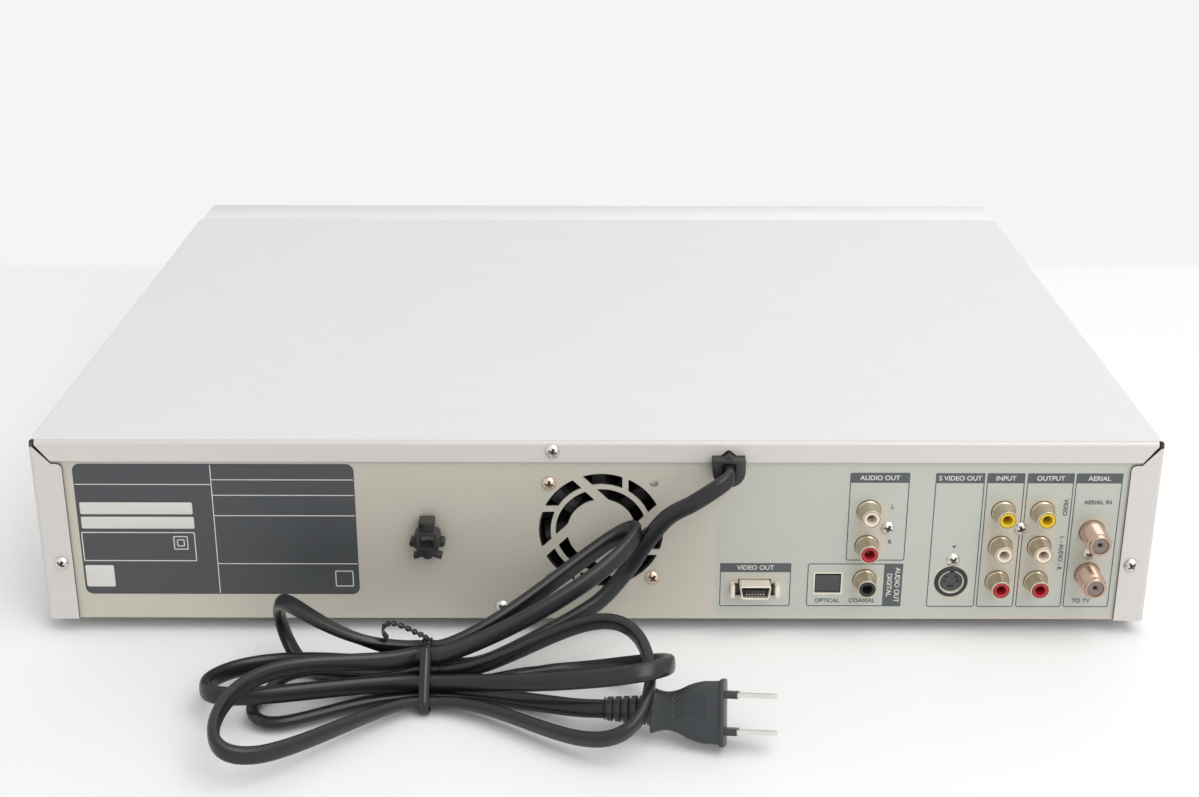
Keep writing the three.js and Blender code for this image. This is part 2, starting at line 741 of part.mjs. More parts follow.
// Optical socket: a square frame with a spring shutter hinged inside its top edge
const opticalFrame = 1.4;
const opticalProud = 0.5;
const opticalDepth = 15;
const shutterThick = 0.9;
const shutterSink = 0.4;
const shutterPin = 0.5;

const shutterZ = bottomZ + opticalRise + opticalHeight / 2 - opticalFrame - seat - shutterPin;
const shutterY = panelY + opticalProud - shutterSink - shutterPin;

function opticalJack() {
  const z = bottomZ + opticalRise;
  const outside = join(
    block(about(opticalX, opticalWidth / 2), [panelBackY - opticalDepth, panelY + opticalProud],
      about(z, opticalHeight / 2)),
    block(about(opticalX, opticalWidth / 2 + cutOver), [panelBackY - opticalDepth, panelBackY - seat],
      [boardTop + seat, z + opticalHeight / 2 + cutOver]));
  const inside = block(about(opticalX, opticalWidth / 2 - opticalFrame),
    [panelBackY - opticalDepth + opticalFrame, panelY + opticalProud + cutOver],
    about(z, opticalHeight / 2 - opticalFrame));
  return piece('optical_jack', cut(outside, inside), greyPlastic);
}

// The shutter's local origin is its hinge pin.
function opticalShutter() {
  const half = opticalWidth / 2 - opticalFrame - seat;
  const drop = opticalHeight - 2 * opticalFrame - 2 * seat;
  const flap = block([-half, half], [shutterPin - shutterThick, shutterPin],
    [shutterPin - drop, 0]);
  const pin = rodX(shutterPin, [0, 0], [-half, half], smallSides - 2);
  return piece('optical_shutter', join(flap, pin), blackPlastic, [opticalX, shutterY, shutterZ]);
}

// Component video socket: a tapered shell round a black insert, with two latch springs
const dShellTop = 12.4;
const dShellBottom = 9;
const dShellHeight = 7.6;
const dShellProud = 2.4;
const dShellWall = 0.7;
const dTongue = 1.4;
const dTongueWidth = 8;
const dLatchHalf = 1;
const dLatchX = 9.2;
const dLatchProud = 1.6;
const dPlate = 0.6;

function dTerminal() {
  const z = bottomZ + dTerminalRise;
  const taper = (inset) => {
    const [top, bottom, half] = [dShellTop / 2 - inset, dShellBottom / 2 - inset, dShellHeight / 2 - inset];
    return [[-top, half], [-bottom, -half], [bottom, -half], [top, half]]
      .map(([a, b]) => [dTerminalX + a, z + b]);
  };
  const back = panelBackY - rcaBodyDepth;
  const faceY = panelBackY + dPlate / 2;
  const body = block(about(dTerminalX, dCutWidth / 2), [back, faceY], about(z, dCutHeight / 2));
  const foot = block(about(dTerminalX, dCutWidth / 2 + cutOver), [back, panelBackY - seat],
    [boardTop + seat, z + dCutHeight / 2 + cutOver]);
  const shell = acrossY(taper(0), [back, panelY + dShellProud]);
  const hollow = acrossY(taper(dShellWall), [panelBackY, panelY + dShellProud + cutOver]);
  const tongue = block(about(dTerminalX, dTongueWidth / 2), [back, panelY + dShellProud - dShellWall],
    about(z, dTongue / 2));
  const latches = [-1, 1].map((side) => {
    const x = dTerminalX + side * dLatchX;
    return block(about(x, dLatchHalf), [back, panelY + dLatchProud], about(z, dCutHeight / 2 - seat));
  });
  return piece('d_terminal', join(cut(join(body, foot, shell), hollow), tongue, latches), champagneMetal);
}

// Tuner: a screened can with two threaded aerial sockets
const tunerHalf = 9.6;
const tunerSetback = 4;
const tunerTop = 52;
const antennaCollar = 1.8;
const antennaThread = 4.6;
const antennaDish = 0.6;
const antennaWell = 3.3;
const antennaBore = 0.8;
const antennaBoreDepth = 5;

function tunerUnit() {
  const root = -panelSheet - seat - cutOver;
  const barrel = turnedY([
    [0, root], [antennaRadius, root], [antennaRadius, antennaCollar], [antennaThread, antennaCollar],
    [antennaThread, socketReach], [antennaWell, socketReach], [antennaWell, socketReach - antennaDish],
    [antennaBore, socketReach - antennaDish], [antennaBore, socketReach - antennaBoreDepth],
    [0, socketReach - antennaBoreDepth],
  ], pinSides + 2);
  const can = block(about(antennaX, tunerHalf),
    [mainBoard.y[0] + tunerSetback, panelBackY - seat], [boardTop + seat, bottomZ + tunerTop]);
  const barrels = antennaPlaces.map(([x, z]) => barrel.translate(x, panelY, z));
  return piece('tuner_unit', join(can, barrels), zincSteel);
}

// Main board with its processor, its heat spreader and a few capacitors
const chipWidth = 28;
const chipHeight = 3;
const chipInset = 62;
const chipShares = [0.14, 0.64];
const canRadius = 4;
const canHeight = 12;
const canPitch = 14;
const canCount = 4;
const canInset = 94;
const canShare = 0.3;

function mainBoardPiece() {
  const board = block(mainBoard.x, mainBoard.y, [boardZ, boardTop]);
  const low = boardTop - boardSheet / 2;
  const chip = block([mainBoard.x[0] + chipInset, mainBoard.x[0] + chipInset + chipWidth],
    chipShares.map((share) => along(mainBoard.y, share)), [low, boardTop + chipHeight]);
  const cans = Array.from({ length: canCount }, (_, i) => rodZ(canRadius,
    [mainBoard.x[0] + canInset + i * canPitch, along(mainBoard.y, canShare)],
    [low, boardTop + canHeight], smallSides));
  return piece('main_board', join(board, chip, cans), boardGreen);
}

// Power supply board with its transformer, reservoir capacitors and finned heat sink
const transformerHalf = [18, 15];
const transformerHeight = 30;
const transformerInset = 34;
const reservoirRadius = 9;
const reservoirHeight = 28;
const reservoirInset = 70;
const reservoirPitch = 24;
const sinkInset = 126;
const sinkHalf = 12;
const sinkPlate = 3;
const sinkHeight = 34;
const finCount = 4;
const finReach = 9;

function powerBoardPiece() {
  const board = block(powerBoard.x, powerBoard.y, [boardZ, boardTop]);
  const low = boardTop - boardSheet / 2;
  const middleY = along(powerBoard.y, 1 / 2);
  const sinkX = powerBoard.x[0] + sinkInset;
  const transformer = block(about(powerBoard.x[0] + transformerInset, transformerHalf[0]),
    about(middleY, transformerHalf[1]), [low, boardTop + transformerHeight]);
  const reservoirX = powerBoard.x[0] + reservoirInset;
  const reservoirs = [-1, 1].map((side) => rodZ(reservoirRadius,
    [reservoirX, middleY + (side * reservoirPitch) / 2], [low, boardTop + reservoirHeight], pinSides));
  const sinkY = about(middleY, sinkHalf);
  const plate = block(about(sinkX, sinkPlate / 2), sinkY, [low, boardTop + sinkHeight]);
  const fins = Array.from({ length: finCount }, (_, i) => {
    const y = sinkY[0] + ((sinkY[1] - sinkY[0] - sinkPlate / 2) * i) / (finCount - 1);
    return block([sinkX, sinkX + finReach], [y, y + sinkPlate / 2], [low, boardTop + sinkHeight]);
  });
  return piece('power_board', join(board, transformer, reservoirs, plate, fins), boardGreen);
}

// Front panel: a moulded bezel with the slots for the cassette, the tray, the display, the
// buttons and the input door, and bosses for the front board behind it
const bezelInset = 1;
const bezelWall = 2.5;
const bezelCorner = 4;
const slotTop = 77;
const slotHeight = 30;
const slotGap = 0.4;
const trayFaceWidth = 140;
const trayFaceHeight = 15.4;
const trayFaceZ = 63;
const windowWidth = 132;
const windowHeight = 19.4;
const windowThick = 2;
const windowZ = 34;
const inputDoorWidth = 90;
const inputDoorHeight = 24;
const inputDoorInset = 127;
const inputDoorZ = 26;
const frontBoardGap = 9;
const frontBoardLow = 12;
const frontBoardHigh = 44;
const frontBoardInset = 5;
const bossRadius = 2.5;
const bossInset = 3.5;
const leafThick = 2;
const hingePin = 0.5;
const hingePinReach = 2;
const leafSink = 0.1;

const bezelHalf = bodyHalf - bezelInset;
const bezelBackY = frontY + bezelWall;
const frontBoardHalf = bodyHalf - frontBoardInset;
const inputDoorX = inputDoorInset - bodyHalf;
const slotHalf = cassetteWidth / 2 + cassetteSlack + slotGap;
const slotLow = slotTop - slotHeight;
const frontBoardY = bezelBackY + frontBoardGap;
const hingeY = frontY + leafSink + leafThick / 2;
const slotHingeZ = slotTop - slotGap - leafThick / 2;
const inputHingeZ = inputDoorZ - inputDoorHeight / 2 + leafThick / 2;

// Buttons: centre across, height of the centre, width and height of the cap
const powerInset = 25;
const powerWidth = 24;
const ejectInset = 59;
const keyWidth = 20;
const keyHeight = 6.4;
const tallKeyHeight = 10;
const deckKeysZ = 28;
const transportZ = 15;
const transportPitch = 28;
const transportKeys = ['disc_open', 'rewind', 'play', 'stop', 'forward'];

const buttons = {
  power_button: { x: powerInset - bodyHalf, z: deckKeysZ, wide: powerWidth, tall: tallKeyHeight },
  cassette_eject_button: { x: ejectInset - bodyHalf, z: deckKeysZ, wide: keyWidth, tall: tallKeyHeight },
  ...Object.fromEntries(transportKeys.map((name, i) => [`${name}_button`, {
    x: driveX + (i - (transportKeys.length - 1) / 2) * transportPitch,
    z: transportZ, wide: keyWidth, tall: keyHeight,
  }])),
};

// A rod on a door's hinge line, inside the thickness of the bezel's front wall.
function hingeRod(radius, half, [x, z]) {
  return rodX(radius, [hingeY, z], [x - half, x + half], smallSides - 2);
}

function frontPanel() {
  const back = seamY;
  const outline = roundRect([-bezelHalf, bezelHalf], [bottomZ, topZ], bezelCorner / 2);
  const inside = roundRect([bezelWall - bezelHalf, bezelHalf - bezelWall],
    [bottomZ + bezelWall, topZ - bezelWall], seat);
  const shell = cut(acrossY(outline, [frontY, back]), acrossY(inside, [bezelBackY, back + cutOver]));
  const through = [frontY - cutOver, bezelBackY + cutOver];
  const slot = (x, z, wide, tall) => block(about(x, wide / 2 + seat), through, about(z, tall / 2 + seat));
  const openings = [
    block(about(deckX, slotHalf), through, [slotLow, slotTop]),
    slot(driveX, trayFaceZ, trayFaceWidth, trayFaceHeight),
    slot(driveX, windowZ, windowWidth, windowHeight),
    slot(inputDoorX, inputDoorZ, inputDoorWidth, inputDoorHeight),
    ...Object.values(buttons).map(({ x, z, wide, tall }) => slot(x, z, wide, tall)),
  ];
  const bossX = [bossInset - frontBoardHalf, inputDoorX + inputDoorWidth / 2 + pillarInset,
    driveX - windowWidth / 2 - pillarInset, frontBoardHalf - bossInset];
  const bosses = bossX.map((x) => rodY(bossRadius, [x, windowZ + pillarInset / 2],
    [bezelBackY - cutOver, frontBoardY - seat], smallSides));
  const hinges = [
    hingeRod(hingePin + seat, slotHalf + hingePinReach + seat, [deckX, slotHingeZ]),
    hingeRod(hingePin + seat, inputDoorWidth / 2 + hingePinReach + 2 * seat, [inputDoorX, inputHingeZ]),
  ];
  return piece('front_panel', join(cut(shell, openings, hinges), bosses), silverPlastic);
}

// Doors: a leaf with a round edge that turns on two short pins in the sides of its slot.
// Local origin on the hinge line. The cassette door hangs from its top edge and swings in;
// the input door stands on its bottom edge and folds out.
function door(name, half, height, hang, at) {
  const round = leafThick / 2;
  const edge = rodX(round, [0, 0], [-half, half], smallSides);
  const span = height - round;
  const leaf = block([-half, half], [-round, round], hang ? [-span, 0] : [0, span]);
  const pin = rodX(hingePin, [0, 0], [-half - hingePinReach, half + hingePinReach], smallSides - 2);
  return piece(name, join(edge, leaf, pin), silverPlastic, at);
}

function doors() {
  return [
    door('cassette_door', slotHalf - slotGap, slotHeight - 2 * slotGap, true,
      [deckX, hingeY, slotHingeZ]),
    door('front_input_door', inputDoorWidth / 2, inputDoorHeight, false,
      [inputDoorX, hingeY, inputHingeZ]),
  ];
}

// Display window: a smoked plate in the bezel
function displayWindow() {
  const y = [frontY + seat, frontY + seat + windowThick];
  return piece('display_window', block(about(driveX, windowWidth / 2), y,
    about(windowZ, windowHeight / 2)), smokedAcrylic);
}

// Input sockets behind the door: three phono barrels on one moulded block
const inputPitch = 20;
const inputBlockHalf = 31;
const inputBlockDepth = 4;
const inputBarrelReach = 4;
const inputBlockHigh = 8;

function frontInputJacks() {
  const body = block(about(inputDoorX, inputBlockHalf),
    [frontBoardY - seat - inputBlockDepth, frontBoardY - seat], about(inputDoorZ, inputBlockHigh));
  const barrels = [-1, 0, 1].map((step) => {
    const barrel = turnedY([
      [0, -cutOver], [rcaBarrel, -cutOver], [rcaBarrel, inputBarrelReach],
      [rcaBarrel - rcaLip, inputBarrelReach], [rcaBore, inputBarrelReach - rcaDish],
      [rcaBore, 0], [0, 0],
    ], smallSides);
    return barrel.rotate([0, 0, 180]).translate(
      inputDoorX + step * inputPitch, frontBoardY - seat - inputBlockDepth, inputDoorZ);
  });
  return piece('front_input_jacks', join(body, barrels), blackPlastic);
}

// Buttons: a cap in the bezel and a rim behind it that keeps the cap in
const capRim = 1.4;
const capRimThick = 1.4;
const keyTravel = 1;
const switchSize = 2.4;

function buttonCaps() {
  return Object.entries(buttons).map(([name, { x, z, wide, tall }]) => {
    const back = bezelWall + seat + capRimThick;
    const cap = acrossY(roundRect([-wide / 2, wide / 2], [-tall / 2, tall / 2], 2 * seat, 2),
      [-buttonProud, bezelWall + seat + capRimThick / 2]);
    const rim = block([-wide / 2 - capRim, wide / 2 + capRim], [bezelWall + seat, back],
      [-tall / 2 - capRim, tall / 2 + capRim]);
    return piece(name, join(cap, rim), silverPlastic, [x, frontY, z]);
  });
}

// Front board: upright behind the bezel, with the display module and one switch per button
const displayInset = 3;

function frontBoard() {
  const board = block([-frontBoardHalf, frontBoardHalf], [frontBoardY, frontBoardY + boardSheet],
    [frontBoardLow, frontBoardHigh]);
  const display = block(about(driveX, windowWidth / 2 - displayInset),
    [frontY + 2 * seat + windowThick, frontBoardY + boardSheet / 2],
    about(windowZ, windowHeight / 2 - displayInset));
  const capBack = frontY + bezelWall + seat + capRimThick;
  const switches = Object.values(buttons).map(({ x, z }) =>
    block(about(x, switchSize), [capBack + keyTravel + seat, frontBoardY + boardSheet / 2],
      about(z, switchSize / 2)));
  return piece('front_board', join(board, display, switches), boardGreen);
}

// Disc drive: an open frame with ledges that carry the tray, a bridge over the disc for the
// clamp, and ears for the swinging sub-chassis of the laser and the turntable
const trayZ = 60;
const trayThick = 4;
const traySlack = 2;
const trayLength = 176;
const trayFaceThick = 4;
const discInset = 68;
const discRadius = 60.5;
const smallDiscRadius = 40.5;
const discRecess = 1.6;
const smallDiscRecess = 2.4;
const traySlotHalf = 23;
const turntableGap = 4;
const ledgeWidth = 4;
const ledgeThick = 2;
const driveWallTop = 70;
const driveSheet = 1.5;
const driveHoleHalf = 34;
const bridgeHalf = 16;
const bridgeZ = 67;
const bridgeThick = 2;
const clampHole = 10;
const clampFlange = 14;
const clampFlangeThick = 2.6;
const clampDrop = 1.5;
const clampHollow = 8;
const clampHollowDeep = 3;
const subHalf = 28;
const subZ = 50;
const subThick = 2;
const subFront = 17;
const subRear = 104;
const pivotRadius = 1.6;
const pivotReach = 4.5;
const earThick = 3;

const trayFrontY = frontY + trayFaceThick + seat;
const discY = trayFrontY + discInset;
const pivotY = discY + subRear - subThick;
const pivotZ = subZ + subThick / 2;

function driveFrame() {
  const x = about(driveX, driveHalf);
  const y = [driveFrontY, driveRearY];
  const hole = block(about(driveX, driveHoleHalf), [discY - subFront - driveWall, pivotY + earThick],
    [driveFloorZ - cutOver, driveFloorZ + driveSheet + cutOver]);
  const floor = cut(block(x, y, [driveFloorZ, driveFloorZ + driveSheet]), hole);
  const walls = [-1, 1].map((side) => {
    const wall = side < 0 ? [x[0], x[0] + driveWall] : [x[1] - driveWall, x[1]];
    const ledge = side < 0 ? [x[0], x[0] + driveWall + ledgeWidth] : [x[1] - driveWall - ledgeWidth, x[1]];
    return join(block(wall, y, [driveFloorZ, driveWallTop]),
      block(ledge, y, [trayZ - seat - ledgeThick, trayZ - seat]));
  });
  const bridge = cut(
    block(x, about(discY, bridgeHalf), [bridgeZ, bridgeZ + bridgeThick]),
    rodZ(clampHole + seat, [driveX, discY], [bridgeZ - cutOver, bridgeZ + bridgeThick + cutOver],
      roundSides));
  const ears = [-1, 1].map((side) => {
    const inner = subHalf + seat;
    const outer = driveHoleHalf + cutOver;
    const ear = side < 0 ? [-outer, -inner] : [inner, outer];
    return cut(
      block(ear.map((v) => driveX + v), about(pivotY, earThick + pivotRadius),
        [driveFloorZ, pivotZ + earThick]),
      rodX(pivotRadius + seat, [pivotY, pivotZ],
        [driveX + ear[0] - cutOver, driveX + ear[1] + cutOver], smallSides));
  });
  return piece('disc_drive_frame', join(floor, walls, bridge, ears), zincSteel);
}

function discTray() {
  const centre = [driveX, discY];
  const top = trayZ + trayThick;
  const y = [trayFrontY, trayFrontY + trayLength];
  const plate = block(about(driveX, trayWidth / 2), y, [trayZ, top]);
  const recess = rodZ(discRadius, centre, [top - discRecess, top + cutOver], fineSides);
  const small = rodZ(smallDiscRadius, centre, [top - smallDiscRecess, top + cutOver], roundSides + pinSides);
  const slot = block(about(driveX, traySlotHalf), [discY - subFront, y[1] + cutOver],
    [trayZ - cutOver, top + cutOver]);
  return piece('disc_tray', cut(plate, recess, small, slot), greyPlastic);
}

function trayFront() {
  const [across, tall] = [about(driveX, trayFaceWidth / 2), about(trayFaceZ, trayFaceHeight / 2)];
  const outline = roundRect(across, tall, seat * 2, 2);
  return piece('tray_front', acrossY(outline, [frontY, frontY + trayFaceThick]), silverPlastic);
}

// Sub-chassis: a frame with two guide rods and the spindle motor; local origin on its pivot
const railRadius = 1.3;
const railHalf = 22;
const railRise = 4;
const railFront = 14;
const railRear = 82;
const motorRadius = 9;
const motorTop = 10.7;
const sledHalf = 25;
const sledLength = 26;
const sledThick = 7;
const sledRest = 16;
const lensRadius = 4;
const lensTop = 11;
const lensInset = 8;

function subChassis() {
  const toPlace = (y) => y - pivotY;
  const half = subThick / 2;
  const plate = cut(
    block([-subHalf, subHalf], [toPlace(discY - subFront), half + pivotRadius], [-half, half]),
    block([railRadius * 2 - railHalf, railHalf - railRadius * 2],
      [toPlace(discY + sledRest - cutOver), toPlace(discY + railRear)], [-half - cutOver, half + cutOver]));
  const pivots = rodX(pivotRadius, [0, 0], [-subHalf - pivotReach, subHalf + pivotReach], smallSides);
  const motor = rodZ(motorRadius, [0, toPlace(discY)], [-half, motorTop], roundSides / 2 + 4);
  const rails = [-1, 1].map((side) => rodY(railRadius, [side * railHalf, railRise + half],
    [toPlace(discY + railFront), toPlace(discY + railRear)], smallSides - 2));
  const stands = [-1, 1].flatMap((side) => [railFront, railRear].map((end) =>
    block(about(side * railHalf, 2 * railRadius), about(toPlace(discY + end), railRadius),
      [-half, railRise + half + railRadius])));
  return piece('traverse_frame', join(plate, pivots, motor, rails, stands), blackPlastic);
}

function laserSled() {
  const y0 = discY + sledRest - pivotY;
  const low = subThick / 2 + seat;
  const body = block([-sledHalf, sledHalf], [y0, y0 + sledLength], [low, low + sledThick]);
  const holes = [-1, 1].map((side) => rodY(railRadius + seat, [side * railHalf, railRise + subThick / 2],
    [y0 - cutOver, y0 + sledLength + cutOver], smallSides - 2));
  const lens = rodZ(lensRadius, [0, y0 + lensInset], [low, lensTop], smallSides);
  return piece('laser_sled', join(cut(body, holes), lens), greyPlastic);
}

const platterRadius = 13;
const platterThick = 1.6;
const coneRadius = 7.3;
const coneTop = 4.4;

function discTurntable() {
  const base = motorTop + seat;
  const profile = [
    [0, base], [platterRadius, base], [platterRadius, base + platterThick],
    [coneRadius, base + platterThick], [coneRadius, base + coneTop * 0.6],
    [coneRadius * 0.8, base + coneTop], [0, base + coneTop],
  ];
  return piece('disc_turntable', turnedZ(profile, roundSides), blackPlastic, [0, discY - pivotY, 0]);
}

function discClamp() {
  const low = bridgeZ - clampDrop;
  const seatZ = bridgeZ + bridgeThick + seat;
  const profile = [
    [0, low + clampHollowDeep], [clampHollow, low + clampHollowDeep], [clampHollow, low],
    [clampHole - seat, low], [clampHole - seat, seatZ], [clampFlange, seatZ],
    [clampFlange, seatZ + clampFlangeThick], [0, seatZ + clampFlangeThick],
  ];
  return piece('disc_clamp', turnedZ(profile, roundSides), whitePlastic, [driveX, discY, 0]);
}

function discDrive() {
  const swing = assembly([subChassis(), laserSled(), discTurntable()], [driveX, pivotY, pivotZ]);
  return [driveFrame(), discTray(), trayFront(), discClamp(), swing];
}

// Cassette deck: a steel plate with side walls, guide posts and the lower head drum.
// Local origin on the top of the plate, in the middle, at its front edge.
const deckWallTop = 76;
const deckWallDepth = 168;
const drumLower = 10;
const drumUpper = 15;
const drumTilt = 0.1;
const drumGroove = 1;
const reelPitch = 92;
const reelRadius = 17;
const reelThick = 4;
const reelSpindle = 4;
const reelSpindleTop = 16;
const reelPin = 2;
const capstanX = 52;
const capstanRadius = 1.5;
const capstanTop = 26;
const flywheelRadius = 19;
const flywheelThick = 4;
const postRadius = 3;
const postTop = 24;
const postHalf = [40, 28];

// Sizes of the cassette holder and its slider, which the slots of the deck follow
const holderDepth = 84;
const holderLow = 48;
const holderLedge = 14;
const holderInset = 2;
const holderWindow = 50;
const sliderDepth = 24;
const sliderDrop = 26;
const sliderBack = 44;
const sliderTravel = 65;
const holderTravel = 18;
const guidePin = 1;
const guidePinDrop = 8;
const guidePinInset = 4;

const plateTop = deckFloorZ + deckSheet;
const holderTop = holderLow + holderSheet + cassetteHeight + cassetteSlack;
const guideZ = holderTop - guidePinDrop - plateTop;
const sliderPins = [sliderBack + guidePinInset, sliderBack + sliderDepth - guidePinInset];
const holderPinY = sliderBack + sliderDepth / 2;

function deckPlate() {
  const sheet = block([-deckHalf, deckHalf], [0, deckDepth], [-deckSheet, 0]);
  const walls = [-1, 1].map((side) => block(
    side < 0 ? [-deckHalf, deckSheet - deckHalf] : [deckHalf - deckSheet, deckHalf],
    [0, deckWallDepth], [-deckSheet, deckWallTop - plateTop]));
  const slotEnd = guidePin + seat;
  const guideSlot = block([-deckHalf - cutOver, deckHalf + cutOver],
    [sliderPins[0] - slotEnd, sliderPins[1] + sliderTravel + slotEnd], about(guideZ, slotEnd));
  const through = [-deckSheet - cutOver, cutOver];
  const holes = [
    ...[-1, 1].map((side) => rodZ(reelPin + seat, [(side * reelPitch) / 2, reelInset], through, smallSides)),
    rodZ(capstanRadius + seat, [capstanX, capstanInset], through, smallSides),
  ];
  const posts = postInset.flatMap((y, i) => [-1, 1].map((side) =>
    rodZ(postRadius, [side * postHalf[i], y], [-deckSheet, postTop], smallSides)));
  const drum = rodZ(drumRadius, [0, 0], [0, drumLower], fineSides / 2)
    .rotate([(-drumTilt * 180) / Math.PI, 0, 0]).translate(0, drumInset, 0);
  const foot = rodZ(drumRadius - cutOver, [0, drumInset], [-deckSheet / 2, drumLower / 2], fineSides / 2);
  const guides = cut(join(walls[0], walls[1]), guideSlot);
  return piece('tape_deck_plate', join(cut(sheet, holes), guides, posts, drum, foot), zincSteel);
}

// The upper drum's local origin is on the tilted axis at the top of the lower drum.
function headDrum() {
  const half = drumGroove / 2;
  const profile = [
    [0, seat], [drumRadius - half, seat], [drumRadius - half, seat + drumGroove],
    [drumRadius, seat + drumGroove], [drumRadius, drumUpper - drumGroove],
    [drumRadius - drumGroove, drumUpper], [reelSpindle * 2, drumUpper],
    [reelSpindle * 2, drumUpper + drumGroove],
    [0, drumUpper + drumGroove],
  ];
  const at = [0, drumInset + drumLower * Math.sin(drumTilt), drumLower * Math.cos(drumTilt)];
  return piece('head_drum', turnedZ(profile, fineSides / 2), brightSteel, at, [-drumTilt, 0, 0]);
}

function reelTables() {
  const profile = [
    [0, -deckSheet - seat], [reelPin, -deckSheet - seat], [reelPin, seat], [reelRadius, seat],
    [reelRadius, seat + reelThick], [reelSpindle, seat + reelThick],
    [reelSpindle, reelSpindleTop - reelSpindle], [0, reelSpindleTop],
  ];
  const names = ['supply_reel_table', 'takeup_reel_table'];
  return names.map((name, i) => {
    const splines = Array.from({ length: 3 }, (_, k) => {
      const fin = new THREE.BoxGeometry(reelSpindle + cutOver, cutOver, reelSpindleTop - 2 * reelSpindle);
      fin.translate((reelSpindle + cutOver) / 2, 0, reelSpindleTop / 2);
      return solidOf(fin.rotateZ((2 * Math.PI * k) / 3));
    });
    return piece(name, join(turnedZ(profile, roundSides / 2 + 4), splines), blackPlastic,
      [(i - 1 / 2) * reelPitch, reelInset, 0]);
  });
}

function capstan() {
  const low = -deckSheet - seat;
  const profile = [
    [0, low - flywheelThick], [flywheelRadius, low - flywheelThick], [flywheelRadius, low],
    [capstanRadius, low], [capstanRadius, capstanTop], [0, capstanTop],
  ];
  return piece('capstan', turnedZ(profile, roundSides), brightSteel, [capstanX, capstanInset, 0]);
}

// Cassette holder in its raised place at the slot. It hangs on two pins in upright slots of
// the slider, and the slider runs on four pins in level slots of the deck's side walls.
function cassetteHolder() {
  const y = [holderInset, holderInset + holderDepth];
  const low = holderLow - plateTop;
  const high = holderTop + holderSheet - plateTop;
  const top = cut(
    block([-holderHalf, holderHalf], y, [high - holderSheet, high]),
    block([-holderWindow, holderWindow], [y[0] + holderLedge, y[1] - holderLedge],
      [high - holderSheet - cutOver, high + cutOver]));
  const sides = [-1, 1].map((side) => {
    const wall = side < 0 ? [-holderHalf, holderSheet - holderHalf] : [holderHalf - holderSheet, holderHalf];
    const ledge = side < 0 ? [-holderHalf, holderLedge - holderHalf] : [holderHalf - holderLedge, holderHalf];
    return join(block(wall, y, [low, high]), block(ledge, y, [low, low + holderSheet]));
  });
  const pin = rodX(guidePin, [holderPinY, guideZ], [0, seat + 1.5 * holderSheet], smallSides - 2);
  const pins = [pin.translate(holderHalf - holderSheet / 2, 0, 0),
    pin.translate(-holderHalf - seat - holderSheet, 0, 0)];
  return piece('cassette_holder', join(top, sides, pins), zincSteel);
}

function cassetteSlider() {
  const y = [sliderBack, sliderBack + sliderDepth];
  const top = holderTop + holderSheet - plateTop + seat;
  const inner = holderHalf + seat;
  const arms = [-1, 1].map((side) => block(
    side < 0 ? [-sliderHalf, -inner] : [inner, sliderHalf], y, [top - sliderDrop, top + holderSheet]));
  const bar = block([-sliderHalf, sliderHalf], y, [top, top + holderSheet]);
  const slotEnd = guidePin + seat;
  const slot = block([-sliderHalf - cutOver, sliderHalf + cutOver], about(holderPinY, slotEnd),
    [guideZ - holderTravel - slotEnd, guideZ + slotEnd]);
  const reach = sliderHalf + seat + deckSheet;
  const pins = sliderPins.flatMap((pinY) => [
    rodX(guidePin, [pinY, guideZ], [sliderHalf - holderSheet / 2, reach], smallSides - 2),
    rodX(guidePin, [pinY, guideZ], [-reach, holderSheet / 2 - sliderHalf], smallSides - 2),
  ]);
  return piece('cassette_slider', join(cut(join(arms, bar), slot), pins), zincSteel);
}

function tapeDeck() {
  return assembly(
    [deckPlate(), headDrum(), reelTables(), capstan(), cassetteHolder(), cassetteSlider()],
    [deckX, deckFrontY, plateTop]);
}

// Mains lead: a flat twin cord from the bushing, folded to and fro into a hank of seven bights
// under a twist tie, then to a plug that stands on the edge of its flange.
// Places are across the case, behind its rear panel and above the ground.
const cordRingShares = [[1, 0], [0.55, 1], [-0.55, 1], [-1, 0], [-0.55, -1], [0.55, -1]];
const upright = 0;
const flat = Math.PI / 2;
const leaning = Math.PI / 3;
const tieX = 62;
const tieHalf = 4;
const hankStart = 55;
const leadSteps = 26;
const tailSteps = 14;
const floorGap = 0.35;
const floorEase = 1.5;
const facingWeight = 1.5;
const apart = 16;
const gapSteps = 4;
const oneLoop = 24;

const leadRoute = [
  [-50, 5.1, 71.3], [-50, 7.5, 71.3], [-50, 9.8, 71.3], [-48.4, 12.6, 70.7], [-44.5, 14.6, 68.6],
  [-36, 15, 62.8], [-27.1, 14.2, 57], [-18.5, 13.6, 45.5], [-11.3, 13.5, 33.6], [-1.8, 18, 23.9],
  [8, 23.5, 19.4], [20.4, 30, 15.2], [32, 36.5, 11.9], [41, 42, 10.5], [47, 44.2, 10.2],
  [51, 44.2, 10.2], [54.7, 44.2, 10.2],
];
const tailRoute = [
  [54.7, 53.4, 3.8], [51, 53.4, 3.8], [47.5, 53.6, 3.8], [40, 54.8, 3.9], [32, 57, 4.1],
  [24, 60.3, 4.8], [16, 64.4, 6.1], [9, 68.6, 7.7], [3.6, 71.7, 9.1], [0.4, 72.4, 9.45],
  [-2.9, 73, 9.7],
];

// Slots of the strands in the tie, in the order of the cord, with the lean of its width
const hankSlots = [
  [44.2, 10.2, upright], [55.6, 9.6, upright], [46, 3.4, flat], [44.2, 17.4, upright],
  [49.2, 17.4, upright], [60.2, 3.9, leaning], [49.2, 10.2, upright], [53.4, 3.4, flat],
];

